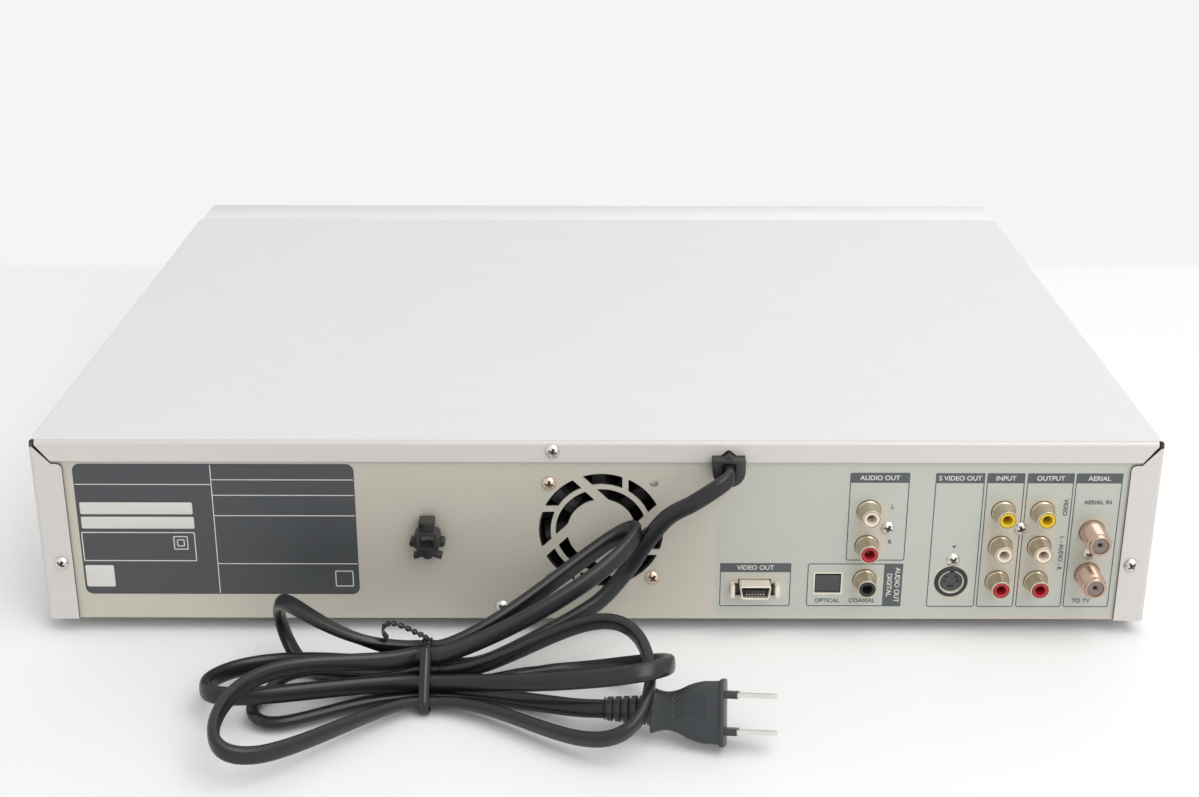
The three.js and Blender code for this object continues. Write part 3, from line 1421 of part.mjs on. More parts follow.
// Bights between the slots: which side of the tie, reach, opening and lift (behind and above),
// the powers with which these come in, and the roll of the cord's width
const hankBights = [
  { side: 1, reach: 75, open: [-19.5, -3.5], lift: [9.5, 1], powers: [1.1, 2.7], roll: 0.1 },
  { side: -1, reach: 84, open: [31.5, 15], lift: [17, 18.5], powers: [1.25, 1.8], roll: 0.4 },
  { side: 1, reach: 53.5, open: [-6, -19], lift: [-19.5, 11.5], powers: [1.2, 3.35], roll: 0.1 },
  { side: -1, reach: 73, open: [-12, 2], lift: [-32.5, 33.5], powers: [1.4, 1.3], roll: 0.35 },
  { side: 1, reach: 63.5, open: [-25.5, 4], lift: [43, 8], powers: [1.25, 1.05], roll: 0.1 },
  { side: -1, reach: 77, open: [36.5, -14.5], lift: [19.5, 17], powers: [1.4, 1.2], roll: 0 },
  { side: 1, reach: 57.5, open: [-19, 18], lift: [12, -12], powers: [1.6, 1.15], roll: -0.45 },
];

const atPlace = ([x, depth, rise]) => new THREE.Vector3(x, panelY + depth, rise);

// Directions along points, and widths turned square to them without a flip.
function frames(points, widths) {
  const runs = points.map((_, i) => points[Math.min(i + 1, points.length - 1)].clone()
    .sub(points[Math.max(i - 1, 0)]).normalize());
  const across = [];
  widths.forEach((width, i) => {
    const square = width.clone().addScaledVector(runs[i], -width.dot(runs[i])).normalize();
    if (i > 0 && square.dot(across[i - 1]) < 0) square.negate();
    across.push(square);
  });
  return { runs, across };
}

// A closed tube of flat section along points, in one geometry.
function flatTube(points, widths, wide, thick) {
  const { runs, across } = frames(points, widths);
  const sides = cordRingShares.length;
  const positions = [];
  const index = [];
  points.forEach((point, i) => {
    const through = runs[i].clone().cross(across[i]);
    for (const [a, b] of cordRingShares) {
      const corner = point.clone().addScaledVector(across[i], (a * wide) / 2)
        .addScaledVector(through, (b * thick) / 2);
      positions.push(corner.x, corner.y, corner.z);
    }
    for (let k = 0; i > 0 && k < sides; k += 1) {
      const [a, b] = [(i - 1) * sides + k, (i - 1) * sides + ((k + 1) % sides)];
      index.push(a, b, b + sides, a, b + sides, a + sides);
    }
  });
  const end = (points.length - 1) * sides;
  for (let k = 1; k < sides - 1; k += 1) {
    index.push(0, k + 1, k, end, end + k, end + k + 1);
  }
  const geometry = new THREE.BufferGeometry();
  geometry.setAttribute('position', new THREE.Float32BufferAttribute(positions, 3));
  geometry.setIndex(index);
  return solidOf(geometry);
}

// A width direction at a lean from upright, towards the back.
const leanOf = (angle) => new THREE.Vector3(0, Math.sin(angle), Math.cos(angle));

// Points and widths of one bight: it leaves the tie, opens, turns at its reach and comes back.
function bight({ side, reach, open, lift, powers, roll }, from, to) {
  const facing = new THREE.Vector3(0, -open[1], open[0]).normalize();
  if (facing.dot(leanOf(from[2]).add(leanOf(to[2]))) < 0) facing.negate();
  facing.applyAxisAngle(new THREE.Vector3(1, 0, 0), roll);
  return Array.from({ length: oneLoop - 1 }, (_, i) => {
    const share = (i + 1) / oneLoop;
    const ease = share * share * (3 - 2 * share);
    const turn = 2 * Math.PI * share;
    const out = (1 - Math.cos(turn)) / 2;
    const [behind, above] = [0, 1].map((k) => from[k] + (to[k] - from[k]) * ease
      + open[k] * Math.sin(turn) * out ** powers[0] + lift[k] * out ** powers[1]);
    const width = leanOf(from[2]).multiplyScalar((1 - ease) * (1 - out))
      .addScaledVector(leanOf(to[2]), ease * (1 - out)).addScaledVector(facing, facingWeight * out);
    return { point: atPlace([tieX + side * (tieHalf + reach * out), behind, above]), width };
  });
}

// The whole hank, with the strands that would reach the ground eased up onto it.
function hankRun() {
  const ends = [hankSlots[0], hankSlots[hankSlots.length - 1]].map(([behind, above, angle]) => (
    { point: atPlace([hankStart, behind, above]), width: leanOf(angle) }));
  const bights = hankBights.flatMap((shape, i) => bight(shape, hankSlots[i], hankSlots[i + 1]));
  const stations = [ends[0], ...bights, ends[1]];
  const points = stations.map(({ point }) => point);
  const widths = stations.map(({ width }) => width);
  const { across } = frames(points, widths);
  points.forEach((point, i) => {
    const up = Math.abs(across[i].z);
    const least = (up * cordWidth + Math.sqrt(1 - up * up) * cordThick) / 2 + floorGap;
    const above = point.z - least;
    point.z = least + (above + Math.hypot(above, floorEase)) / 2;
  });
  return { points, widths };
}

// The least gap between strands of a run, from points along its middle and the reach of the
// flat section from each towards the other.
function leastGap({ points, widths }) {
  const { runs, across } = frames(points, widths);
  const samples = [];
  let length = 0;
  for (let i = 1; i < points.length; i += 1) {
    const step = points[i].distanceTo(points[i - 1]);
    for (let k = 0; k < gapSteps; k += 1) {
      const share = k / gapSteps;
      samples.push({
        at: points[i - 1].clone().lerp(points[i], share),
        run: runs[i - 1].clone().lerp(runs[i], share).normalize(),
        across: across[i - 1].clone().lerp(across[i], share).normalize(),
        along: length + step * share,
      });
    }
    length += step;
  }
  const reachOf = (sample, way) => {
    const square = way.clone().addScaledVector(sample.run, -way.dot(sample.run));
    return ((cordWidth - cordThick) * Math.abs(square.dot(sample.across)) + cordThick * square.length()) / 2;
  };
  let gap = Infinity;
  for (const a of samples) {
    for (const b of samples) {
      const span = a.at.distanceTo(b.at);
      if (b.along - a.along > apart && span < apart) {
        const way = b.at.clone().sub(a.at).normalize();
        gap = Math.min(gap, span - reachOf(a, way) - reachOf(b, way));
      }
    }
  }
  return { gap, length };
}

function cord() {
  const smooth = (route, steps) =>
    new THREE.CatmullRomCurve3(route.map(atPlace), false, 'centripetal').getSpacedPoints(steps);
  const lead = smooth(leadRoute, leadSteps);
  const tail = smooth(tailRoute, tailSteps);
  const tailLean = tail.map((_, i) => leanOf(-flat + ((flat - plugLean) * i) / tailSteps));
  const hank = hankRun();
  const { gap, length } = leastGap(hank);
  console.log(`hank: ${length.toFixed(0)} mm of cord, least gap ${gap.toFixed(2)} mm`);
  return [
    piece('cord_lead', flatTube(lead, lead.map(() => leanOf(upright)), cordWidth, cordThick), cordBlack),
    piece('cord_hank', flatTube(hank.points, hank.widths, cordWidth, cordThick), cordBlack),
    piece('cord_tail', flatTube(tail, tailLean, cordWidth, cordThick), cordBlack),
  ];
}

// Twist tie: a flat band round the strands and its twisted end
const tieWidth = 3;
const tieThick = 0.8;
const bandOutline = [
  [41.6, 19.6], [41.6, 4], [43.4, 1], [62.2, 0.9], [64.2, 3.2], [64.3, 6.4], [58.6, 13],
  [52.2, 19.6], [50.8, 21.2], [43.2, 21.2],
];
const tieEnd = [
  [62, 47, 21.6], [61.6, 47, 22.8], [63, 47, 24.2], [66.1, 47, 25.9], [70.5, 47, 28.3],
  [74.8, 47, 29.6], [77.2, 47, 28.6], [77.7, 47, 25.9], [76.2, 47, 23.4],
];
const tieEndSteps = 24;
const tieTwists = 5;
const tieEndWidth = 2.2;

function cordTie() {
  const section = new wasm.CrossSection([bandOutline]);
  const band = section.offset(tieThick, 'Miter').subtract(section).extrude(tieWidth);
  const basis = new THREE.Matrix4().makeBasis(
    new THREE.Vector3(0, 1, 0), new THREE.Vector3(0, 0, 1), new THREE.Vector3(1, 0, 0));
  basis.setPosition(tieX - tieWidth / 2, panelY, 0);
  const run = new THREE.CatmullRomCurve3(tieEnd.map(atPlace)).getSpacedPoints(tieEndSteps);
  const twist = run.map((_, i) => {
    const { runs } = frames(run, run.map(() => leanOf(flat)));
    return leanOf(flat).applyAxisAngle(runs[i], (tieTwists * Math.PI * i) / tieEndSteps);
  });
  const end = flatTube(run, twist, tieEndWidth, tieThick);
  return piece('cord_tie', join(band.transform(basis.elements), end), blackPlastic);
}

// Plug: a flat moulded body with a waist and a flange, a ribbed cord relief and two blades.
// Local origin on the outer face of the flange, with +x along the cord.
const plugPlace = [-45.3, 80.9, 13];
const plugYaw = -0.185;
const plugPitch = 0.074;
const plugLean = 0.49;
const plugLength = 26;
const flangeThick = 1.8;
const flangeHalf = [11.8, 5];
const plugSides = [
  [1.4, 10.9], [8.6, 10.6], [12.7, 9.4], [16.7, 7.5], [20.8, 6.8], [23.3, 7.2], [26, 8.1],
];
const plugFaces = [[1.4, 4.4], [12.7, 4.2], [18, 3.6], [20.8, 3.5], [26, 3.9]];
const reliefLength = 17;
const reliefHalf = [[5.4, 4.4], [4.1, 3.2]];
const reliefRibs = 6;
const reliefCoreShare = 0.75;
const bladePitchHalf = 6.35;
const bladeWidth = 6.3;
const bladeSheet = 1.5;
const bladeLength = 17.9;
const bladeTaper = 1.2;
const bladeHole = 1.5;
const bladeHoleInset = 4;
const sleeveLength = 4.4;
const sleeveThick = 0.5;
const sleeveGap = 0.3;

// A closed outline of half sizes along the plug, mirrored to both sides.
const mirrored = (halves) => [...halves, ...halves.map(([x, half]) => [x, -half]).reverse()];

function plugBody() {
  const [tall, deep] = flangeHalf;
  const sides = acrossY(mirrored(plugSides), [-tall, tall]);
  const faces = acrossY(mirrored(plugFaces), [-tall, tall]).rotate([90, 0, 0]);
  const flange = block([0, flangeThick], [-deep, deep], [-tall, tall]);
  const relief = Array.from({ length: reliefRibs }, (_, i) => {
    const pitch = reliefLength / reliefRibs;
    const start = plugLength + i * pitch;
    const half = [0, 1].map((k) =>
      reliefHalf[0][k] + ((reliefHalf[1][k] - reliefHalf[0][k]) * i) / (reliefRibs - 1));
    const oval = (scale, x) => rodX(1, [0, 0], x, smallSides - 2)
      .scale([1, half[1] * scale, half[0] * scale]);
    return join(oval(1, [start, start + pitch * reliefCoreShare]),
      oval(reliefCoreShare, [start - pitch / 2, start + pitch]));
  });
  const sleeves = [-1, 1].map((side) => {
    const half = bladeSheet / 2 + sleeveThick;
    return block([-sleeveLength, flangeThick], about(0, bladeWidth / 2 + sleeveThick),
      about(side * bladePitchHalf, half));
  });
  const sockets = [-1, 1].map((side) => block([-sleeveLength - cutOver, flangeThick / 2],
    about(0, bladeWidth / 2 + sleeveGap), about(side * bladePitchHalf, bladeSheet / 2 + sleeveGap)));
  const solid = cut(join(sides.intersect(faces), flange, relief, sleeves), sockets);
  return piece('plug_body', solid, blackPlastic);
}

function plugBlade(name, side) {
  const half = bladeWidth / 2;
  const root = flangeThick / 2 - sleeveGap;
  const outline = [
    [root, -half], [root, half], [bladeTaper - bladeLength, half],
    [-bladeLength, half - bladeTaper], [-bladeLength, bladeTaper - half],
    [bladeTaper - bladeLength, -half],
  ];
  const blade = cut(acrossY(outline, [-bladeSheet / 2, bladeSheet / 2]),
    rodY(bladeHole, [bladeHoleInset - bladeLength, 0], [-bladeSheet, bladeSheet], smallSides));
  return piece(name, blade.rotate([90, 0, 0]), brightSteel, [0, 0, side * bladePitchHalf]);
}

function plug() {
  const pieces = [plugBody(), plugBlade('plug_blade_upper', 1), plugBlade('plug_blade_lower', -1)];
  return assembly([assembly(pieces, [0, 0, 0], [plugLean, 0, 0])],
    atPlace(plugPlace).toArray(), [0, plugPitch, plugYaw]);
}

const group = assembly([
  chassisBase(), rearPanel(), topCover(), frontPanel(), feet(), screws(),
  cordBushing(), wireClip(), fan(), rcaSockets(), svideoJack(), opticalJack(), opticalShutter(),
  dTerminal(), tunerUnit(), mainBoardPiece(), powerBoardPiece(), frontBoard(),
  discDrive(), tapeDeck(), doors(), displayWindow(), frontInputJacks(),
  buttonCaps(), cord(), cordTie(), plug(),
]);

export default group;
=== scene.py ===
# %% [markdown]
# A disc and cassette player for a television, seen from behind, with its mains lead folded on
# the table at its back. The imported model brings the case, the mechanisms and every moving piece
# at their true size. This lesson dresses it: finishes for each material, and finer surfaces for
# what the camera sees best, which are the sockets, the screws, the print, the lead and the plug.

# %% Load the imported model
import json
import math

import bmesh
import bpy
import numpy as np
from mathutils import Matrix, Vector

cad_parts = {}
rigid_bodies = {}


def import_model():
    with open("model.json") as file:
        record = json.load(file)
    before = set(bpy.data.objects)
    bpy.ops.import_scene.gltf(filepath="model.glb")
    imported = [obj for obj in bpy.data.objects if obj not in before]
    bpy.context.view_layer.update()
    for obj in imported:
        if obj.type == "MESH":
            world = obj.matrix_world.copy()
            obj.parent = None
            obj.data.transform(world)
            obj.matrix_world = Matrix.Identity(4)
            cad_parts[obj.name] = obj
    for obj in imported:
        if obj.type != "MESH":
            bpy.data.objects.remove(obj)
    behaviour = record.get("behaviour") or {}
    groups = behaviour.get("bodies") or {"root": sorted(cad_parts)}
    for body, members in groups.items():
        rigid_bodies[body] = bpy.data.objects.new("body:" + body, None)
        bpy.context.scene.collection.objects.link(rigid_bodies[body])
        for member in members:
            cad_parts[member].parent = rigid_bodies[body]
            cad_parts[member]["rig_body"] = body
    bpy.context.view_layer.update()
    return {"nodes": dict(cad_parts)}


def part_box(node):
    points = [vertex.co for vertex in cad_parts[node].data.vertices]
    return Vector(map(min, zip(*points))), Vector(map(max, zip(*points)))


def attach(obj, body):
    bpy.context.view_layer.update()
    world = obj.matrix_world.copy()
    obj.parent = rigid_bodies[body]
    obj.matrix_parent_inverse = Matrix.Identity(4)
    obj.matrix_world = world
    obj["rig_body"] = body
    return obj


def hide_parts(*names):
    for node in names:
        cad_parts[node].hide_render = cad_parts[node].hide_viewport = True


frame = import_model()
nodes = frame["nodes"]
MM = 0.001


# %% [markdown]
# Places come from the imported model, so that nothing has to be fitted by eye. The rear panel's
# outer face is the plane on which all print and all sockets sit. Lengths in this file are in
# millimetres, and the one function that makes a mesh turns them into metres.

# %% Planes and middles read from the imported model
def lowest(node, axis):
    """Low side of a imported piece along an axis, in millimetres."""
    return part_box(node)[0][axis] / MM


def highest(node, axis):
    """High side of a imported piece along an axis, in millimetres."""
    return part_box(node)[1][axis] / MM


def middle(node, axis):
    """Half way between the low and the high side."""
    return (lowest(node, axis) + highest(node, axis)) / 2


def half_width(node, axis):
    """Half of what lies between the low and the high side."""
    return (highest(node, axis) - lowest(node, axis)) / 2


def add_object(name, data):
    """An object at the origin, unturned, in the scene."""
    thing = bpy.data.objects.new(name, data)
    bpy.context.scene.collection.objects.link(thing)
    return thing


PANEL_Y = highest("rear_panel", 1)
BOTTOM_Z = lowest("rear_panel", 2)
print("panel face at y =", round(PANEL_Y, 2), "mm, bottom edge at z =", round(BOTTOM_Z, 2), "mm")

# %% [markdown]
# The camera stands behind the player and a little above it. Its place, its downward tilt and
# its lens were fitted to the photograph once, from the corners of the case and the sockets, so
# a straight line on the case falls where it does in the picture.

# %% Camera
CAMERA_PLACE = (-0.8, 772.1, 340.8)
CAMERA_DOWN = math.radians(21.578)
CAMERA_TURN = math.radians(-0.022)
CAMERA_ROLL = math.radians(0.118)
CAMERA_LENS = 52.72
CAMERA_CLIP = (0.01, 50)


def camera_axes():
    """The way the camera looks, its right and its up, as unit vectors."""
    ahead = np.array([
        math.sin(CAMERA_TURN) * math.cos(CAMERA_DOWN),
        -math.cos(CAMERA_TURN) * math.cos(CAMERA_DOWN),
        -math.sin(CAMERA_DOWN),
    ])
    right = np.cross(ahead, (0, 0, 1))
    right /= np.linalg.norm(right)
    up = np.cross(right, ahead)
    cosine, sine = math.cos(CAMERA_ROLL), math.sin(CAMERA_ROLL)
    return ahead, cosine * right + sine * up, cosine * up - sine * right


def place_camera():
    """The columns of the camera's turn are its right, its up and the way behind it."""
    data = bpy.data.cameras.new("camera")
    data.lens = CAMERA_LENS
    data.clip_start, data.clip_end = CAMERA_CLIP
    camera = add_object("camera", data)
    ahead, right, up = camera_axes()
    turn = np.eye(4)
    turn[:3, :3] = np.stack([right, up, -ahead], axis=1)
    turn[:3, 3] = np.array(CAMERA_PLACE) * MM
    camera.matrix_world = Matrix(turn.tolist())
    bpy.context.scene.camera = camera


place_camera()
print("camera:", CAMERA_LENS, "mm lens, turned down by", round(math.degrees(CAMERA_DOWN), 1))

# %% [markdown]
# Effects that many finishes share are node groups, built once. Paint, plastic and plated metal
# are never one flat tone: their colour and gloss drift a little over a few centimetres. A noise
# texture on Object coordinates gives that drift in real sizes, and the same on every piece.

# %% Helpers for node trees
def add_node(tree, kind, inputs=None, **settings):
    """Adds a node, sets its options, and links or fills its inputs."""
    node = tree.nodes.new(kind)
    for key, value in settings.items():
        setattr(node, key, value)
    for key, value in (inputs or {}).items():
        if isinstance(value, bpy.types.NodeSocket):
            tree.links.new(value, node.inputs[key])
        else:
            node.inputs[key].default_value = value
    return node


def calculate(tree, operation, *values):
    """The output of a Math node on sockets or numbers."""
    return add_node(tree, "ShaderNodeMath", dict(enumerate(values)), operation=operation).outputs[0]


def mix_colours(tree, share, under, over):
    """Colour that goes from under to over as share goes from 0 to 1."""
    node = add_node(tree, "ShaderNodeMix", {0: share, 6: under, 7: over}, data_type="RGBA")
    return node.outputs[2]


def new_group(name, inputs, outputs):
    """An empty node group with named inputs (name, kind, value) and outputs (name, kind)."""
    group = bpy.data.node_groups.new(name, "ShaderNodeTree")
    for label, kind, value in inputs:
        socket = group.interface.new_socket(label, in_out="INPUT", socket_type="NodeSocket" + kind)
        socket.default_value = value
    for label, kind in outputs:
        group.interface.new_socket(label, in_out="OUTPUT", socket_type="NodeSocket" + kind)
    return group, group.nodes.new("NodeGroupInput"), group.nodes.new("NodeGroupOutput")


def use_group(tree, group, inputs):
    """A node group placed in a tree with its own values."""
    return add_node(tree, "ShaderNodeGroup", inputs, node_tree=group)


def object_place(tree):
    """The place of a point on its piece, in metres."""
    return tree.nodes.new("ShaderNodeTexCoord").outputs["Object"]


def noise_on(tree, scale, detail):
    """A noise texture on the piece, with so many waves to a metre."""
    return add_node(tree, "ShaderNodeTexNoise",
                    {"Vector": object_place(tree), "Scale": scale, "Detail": detail})


print("helpers: add_node, calculate, mix_colours, new_group, use_group and two more")

# %% Group for drift of colour and gloss
def make_drift_group():
    """Colour times 1 + spread * (noise - 1/2), and roughness moved by the same noise."""
    group, given, result = new_group(
        "drift of colour and gloss",
        [("Colour", "Color", (0.5, 0.5, 0.5, 1)), ("Spread", "Float", 0.1),
         ("Scale", "Float", 40.0), ("Roughness", "Float", 0.5), ("Gloss Spread", "Float", 0.1)],
        [("Colour", "Color"), ("Roughness", "Float")],
    )
    noise = noise_on(group, given.outputs["Scale"], 4.0)
    centred = calculate(group, "SUBTRACT", noise.outputs["Fac"], 0.5)
    factor = calculate(group, "MULTIPLY_ADD", centred, given.outputs["Spread"], 1.0)
    shade = add_node(group, "ShaderNodeVectorMath",
                     {0: given.outputs["Colour"], "Scale": factor}, operation="SCALE")
    gloss = calculate(group, "MULTIPLY_ADD", centred, given.outputs["Gloss Spread"],
                      given.outputs["Roughness"])
    group.links.new(shade.outputs[0], result.inputs["Colour"])
    group.links.new(gloss, result.inputs["Roughness"])
    return group


DRIFT = make_drift_group()
print("shader group:", DRIFT.name)


# %% Group for a fine moulded or sprayed grain
def make_grain_group():
    """A bump from noise of the given scale, as high as Height in metres."""
    group, given, result = new_group(
        "fine grain",
        [("Scale", "Float", 1500.0), ("Height", "Float", 0.00002),
         ("Stretch", "Vector", (1, 1, 1))],
        [("Normal", "Vector")],
    )
    placed = add_node(group, "ShaderNodeVectorMath",
                      {0: object_place(group), 1: given.outputs["Stretch"]}, operation="MULTIPLY")
    noise = add_node(group, "ShaderNodeTexNoise", {
        "Vector": placed.outputs[0], "Scale": given.outputs["Scale"], "Detail": 3.0})
    bump = add_node(group, "ShaderNodeBump",
                    {"Height": noise.outputs["Fac"], "Distance": given.outputs["Height"]})
    group.links.new(bump.outputs[0], result.inputs["Normal"])
    return group


GRAIN = make_grain_group()
print("shader group:", GRAIN.name)


# %% Group for edges that hands and cloths have rubbed
RUB_LIKENESS = (0.995, 0.85)
RUB_SCALE = 120.0


def make_edge_group():
    """1 where a rounded copy of the surface turns away from the real one, which is at an edge."""
    group, given, result = new_group(
        "rubbed edges",
        [("Width", "Float", 0.0004), ("Amount", "Float", 0.5)],
        [("Mask", "Float")],
    )
    rounded = add_node(group, "ShaderNodeBevel", {"Radius": given.outputs["Width"]}, samples=4)
    real = group.nodes.new("ShaderNodeNewGeometry")
    likeness = add_node(group, "ShaderNodeVectorMath",
                        {0: rounded.outputs[0], 1: real.outputs["Normal"]}, operation="DOT_PRODUCT")
    away = add_node(group, "ShaderNodeMapRange",
                    {"Value": likeness.outputs["Value"], "From Min": RUB_LIKENESS[0],
                     "From Max": RUB_LIKENESS[1]})
    patchy = noise_on(group, RUB_SCALE, 5.0)
    mask = calculate(group, "MULTIPLY", away.outputs[0], patchy.outputs["Fac"])
    scaled = calculate(group, "MULTIPLY", mask, given.outputs["Amount"])
    group.links.new(calculate(group, "MINIMUM", scaled, 1.0), result.inputs["Mask"])
    return group


EDGES = make_edge_group()
print("shader group:", EDGES.name)


# %% Group for dust that settles on what faces up
def make_dust_group():
    """Upward part of the normal times a noise, times the amount."""
    group, given, result = new_group(
        "settled dust", [("Amount", "Float", 0.3), ("Scale", "Float", 90.0)], [("Mask", "Float")])
    normal = group.nodes.new("ShaderNodeNewGeometry").outputs["Normal"]
    upward = add_node(group, "ShaderNodeSeparateXYZ", {0: normal}).outputs["Z"]
    facing = add_node(group, "ShaderNodeMapRange",
                      {"Value": upward, "From Min": 0.2, "From Max": 1.0})
    noise = noise_on(group, given.outputs["Scale"], 6.0)
    mask = calculate(group, "MULTIPLY", facing.outputs[0], noise.outputs["Fac"])
    amount = calculate(group, "MULTIPLY", mask, given.outputs["Amount"])
    group.links.new(amount, result.inputs["Mask"])
    return group


DUST = make_dust_group()
DUST_TONE = (0.42, 0.40, 0.37, 1)
print("shader group:", DUST.name)


# %% Group for a printed or bare area with round corners
AREA_VALUES = ["Middle X", "Middle Z", "Half X", "Half Z", "Radius"]


def make_area_group():
    """1 inside a rectangle in x and z, in millimetres: the distance to a rounded box is the
    length of what is left of |place - middle| - half + radius, less the radius."""
    group, given, result = new_group(
        "area with round corners", [(name, "Float", 1.0) for name in AREA_VALUES],
        [("Mask", "Float")])
    place = add_node(group, "ShaderNodeSeparateXYZ", {0: object_place(group)})

    def beyond(axis):
        """|place - middle| - half + radius along an axis, or 0 where that is negative."""
        across = calculate(group, "MULTIPLY", place.outputs[axis], 1 / MM)
        off = calculate(group, "SUBTRACT", across, given.outputs["Middle " + axis])
        off = calculate(group, "ABSOLUTE", off)
        off = calculate(group, "SUBTRACT", off, given.outputs["Half " + axis])
        off = calculate(group, "ADD", off, given.outputs["Radius"])
        return calculate(group, "MAXIMUM", off, 0.0)

    squares = [calculate(group, "POWER", beyond(axis), 2.0) for axis in "XZ"]
    length = calculate(group, "SQRT", calculate(group, "ADD", *squares))
    inside = calculate(group, "LESS_THAN", length, given.outputs["Radius"])
    group.links.new(inside, result.inputs["Mask"])
    return group


AREA = make_area_group()
print("shader group:", AREA.name)


# %% [markdown]
# One function makes every finish from these groups, so that they all have drift, grain, rubbed
# edges and dust in their own amounts. What is the same all over a surface, such as how metallic
# it is, goes straight on the shader.

# %% Finish maker
def tone(red, green, blue):
    """Linear colour of a display colour from 0 to 255: ((c / 255 + 0.055) / 1.055) ** 2.4."""
    share = (np.array([red, green, blue]) / 255 + 0.055) / 1.055
    return (*(share ** 2.4).tolist(), 1.0)


def finish(name, colour, roughness, metallic=0.0, spread=0.08, scale=40.0, gloss=0.1,
           grain=None, stretch=(1, 1, 1), edge=None, dust=0.0, print_over=None, own=None):
    """A material: drift, then any print, rubbed edges as (width, amount, colour), dust, and
    grain as (scale, height). Widths and heights are in millimetres."""
    material = bpy.data.materials.new(name)
    material.use_nodes = True
    tree = material.node_tree
    shader = tree.nodes["Principled BSDF"]
    shader.inputs["Metallic"].default_value = metallic
    for key, value in (own or {}).items():
        shader.inputs[key].default_value = value
    drift = use_group(tree, DRIFT, {"Colour": colour, "Spread": spread, "Scale": scale,
                                    "Roughness": roughness, "Gloss Spread": gloss})
    base = drift.outputs["Colour"]
    if print_over:
        base = print_over(tree, base)
    if edge:
        width, amount, bare = edge
        mask = use_group(tree, EDGES, {"Width": width * MM, "Amount": amount}).outputs[0]
        base = mix_colours(tree, mask, base, bare)
    if dust:
        mask = use_group(tree, DUST, {"Amount": dust}).outputs[0]
        base = mix_colours(tree, mask, base, DUST_TONE)
    tree.links.new(base, shader.inputs["Base Color"])
    tree.links.new(drift.outputs["Roughness"], shader.inputs["Roughness"])
    if grain:
        grain_scale, height = grain
        bump = use_group(tree, GRAIN,
                         {"Scale": grain_scale, "Height": height * MM, "Stretch": stretch})
        tree.links.new(bump.outputs[0], shader.inputs["Normal"])
    return material


print("middle grey of a display as linear light:", round(tone(128, 128, 128)[0], 3))

# %% [markdown]
# The rear panel is steel sheet with a warm clear lacquer. The area of the sockets is printed in
# a pale grey green with one corner cut off, and the print leaves the metal bare round groups of
# sockets. These areas are masks in the material, because ink has no thickness to model: a
# rectangle with round corners, less the triangle beyond the slanted edge, less the bare areas.

# %% Print on the rear panel: middle across, middle up, half width, half height, corner
SOCKET_AREA = (-124.4, 40.6, 78.6, 32.8, 2.5)
SLANT_FROM = (-62.1, 72.9)
SLANT_TO = (-45.7, 49.7)
BARE_AREAS = [
    (-163.85, 38.0, 13.5, 20.4, 2.6),  # six sockets for picture and sound
    (-105.6, 44.4, 6.5, 13.2, 5.6),    # two sound sockets
    (-104.6, 23.1, 5.6, 5.6, 5.5),     # coaxial socket
    (-90.3, 21.8, 6.1, 5.2, 0.8),      # optical socket
    (-191.8, 34.0, 5.6, 16.8, 2.6),    # aerial sockets
    (-138.4, 22.5, 7.8, 7.8, 7.7),     # four-contact socket
    (-138.5, 29.0, 4.2, 5.4, 4.1),     # its screw
    (-61.7, 20.4, 11.0, 5.0, 0.8),     # component picture socket
]
PRINT_TONE = tone(189, 192, 184)
PRINT_COVER = 0.9


def socket_print(tree, base):
    """Lays the socket area's tint over the metal. A point is on the print's side of the slanted
    edge when its distance along the edge's normal passes the edge's own distance."""
    def area(values):
        """Mask of one rectangle."""
        return use_group(tree, AREA, dict(zip(AREA_VALUES, values))).outputs[0]

    place = add_node(tree, "ShaderNodeSeparateXYZ", {0: object_place(tree)})
    run = np.array(SLANT_TO) - np.array(SLANT_FROM)
    across = np.array([run[1], -run[0]]) / np.linalg.norm(run)
    weighed = calculate(tree, "MULTIPLY", place.outputs["X"], float(across[0] / MM))
    beyond = calculate(tree, "MULTIPLY_ADD", place.outputs["Z"], float(across[1] / MM), weighed)
    level = float(across @ np.array(SLANT_FROM))
    side = "LESS_THAN" if across @ np.array(SOCKET_AREA[:2]) < level else "GREATER_THAN"
    within = calculate(tree, side, beyond, level)
    mask = calculate(tree, "MULTIPLY", area(SOCKET_AREA), within)
    for values in BARE_AREAS:
        mask = calculate(tree, "MULTIPLY", mask, calculate(tree, "SUBTRACT", 1.0, area(values)))
    return mix_colours(tree, calculate(tree, "MULTIPLY", mask, PRINT_COVER), base, PRINT_TONE)


print("areas that the print leaves bare:", len(BARE_AREAS))

# %% Metals and paints of the case
STEEL_EDGE = tone(215, 215, 212)
# This tone is bare cut steel made much darker as painted shade, so that the cover's cut edges draw
# the dark line of shadow along the seam and the flanges.
cut_edge_and_shade = finish("cut_sheet_edge_and_shade", tone(62, 58, 54), 0.55, metallic=0.3, spread=0.2, scale=200)
# The tone for the floors of the screws' cross recesses is painted shade.
painted_recess_shade = finish("painted_recess_shade", tone(100, 94, 88), 0.6, spread=0.2, scale=200)
cover_paint = finish("satin_cover_paint", tone(229, 231, 230), 0.5, metallic=0.05, spread=0.03,
                     scale=14, gloss=0.08, grain=(2600, 0.012), edge=(0.5, 0.35, STEEL_EDGE),
                     dust=0.05, own={"Specular IOR Level": 0.3})
panel_sheet = finish("panel_sheet", tone(199, 194, 181), 0.46, metallic=0.2, spread=0.05,
                     scale=18, gloss=0.12, grain=(1400, 0.012), stretch=(0.25, 1, 1),
                     print_over=socket_print)
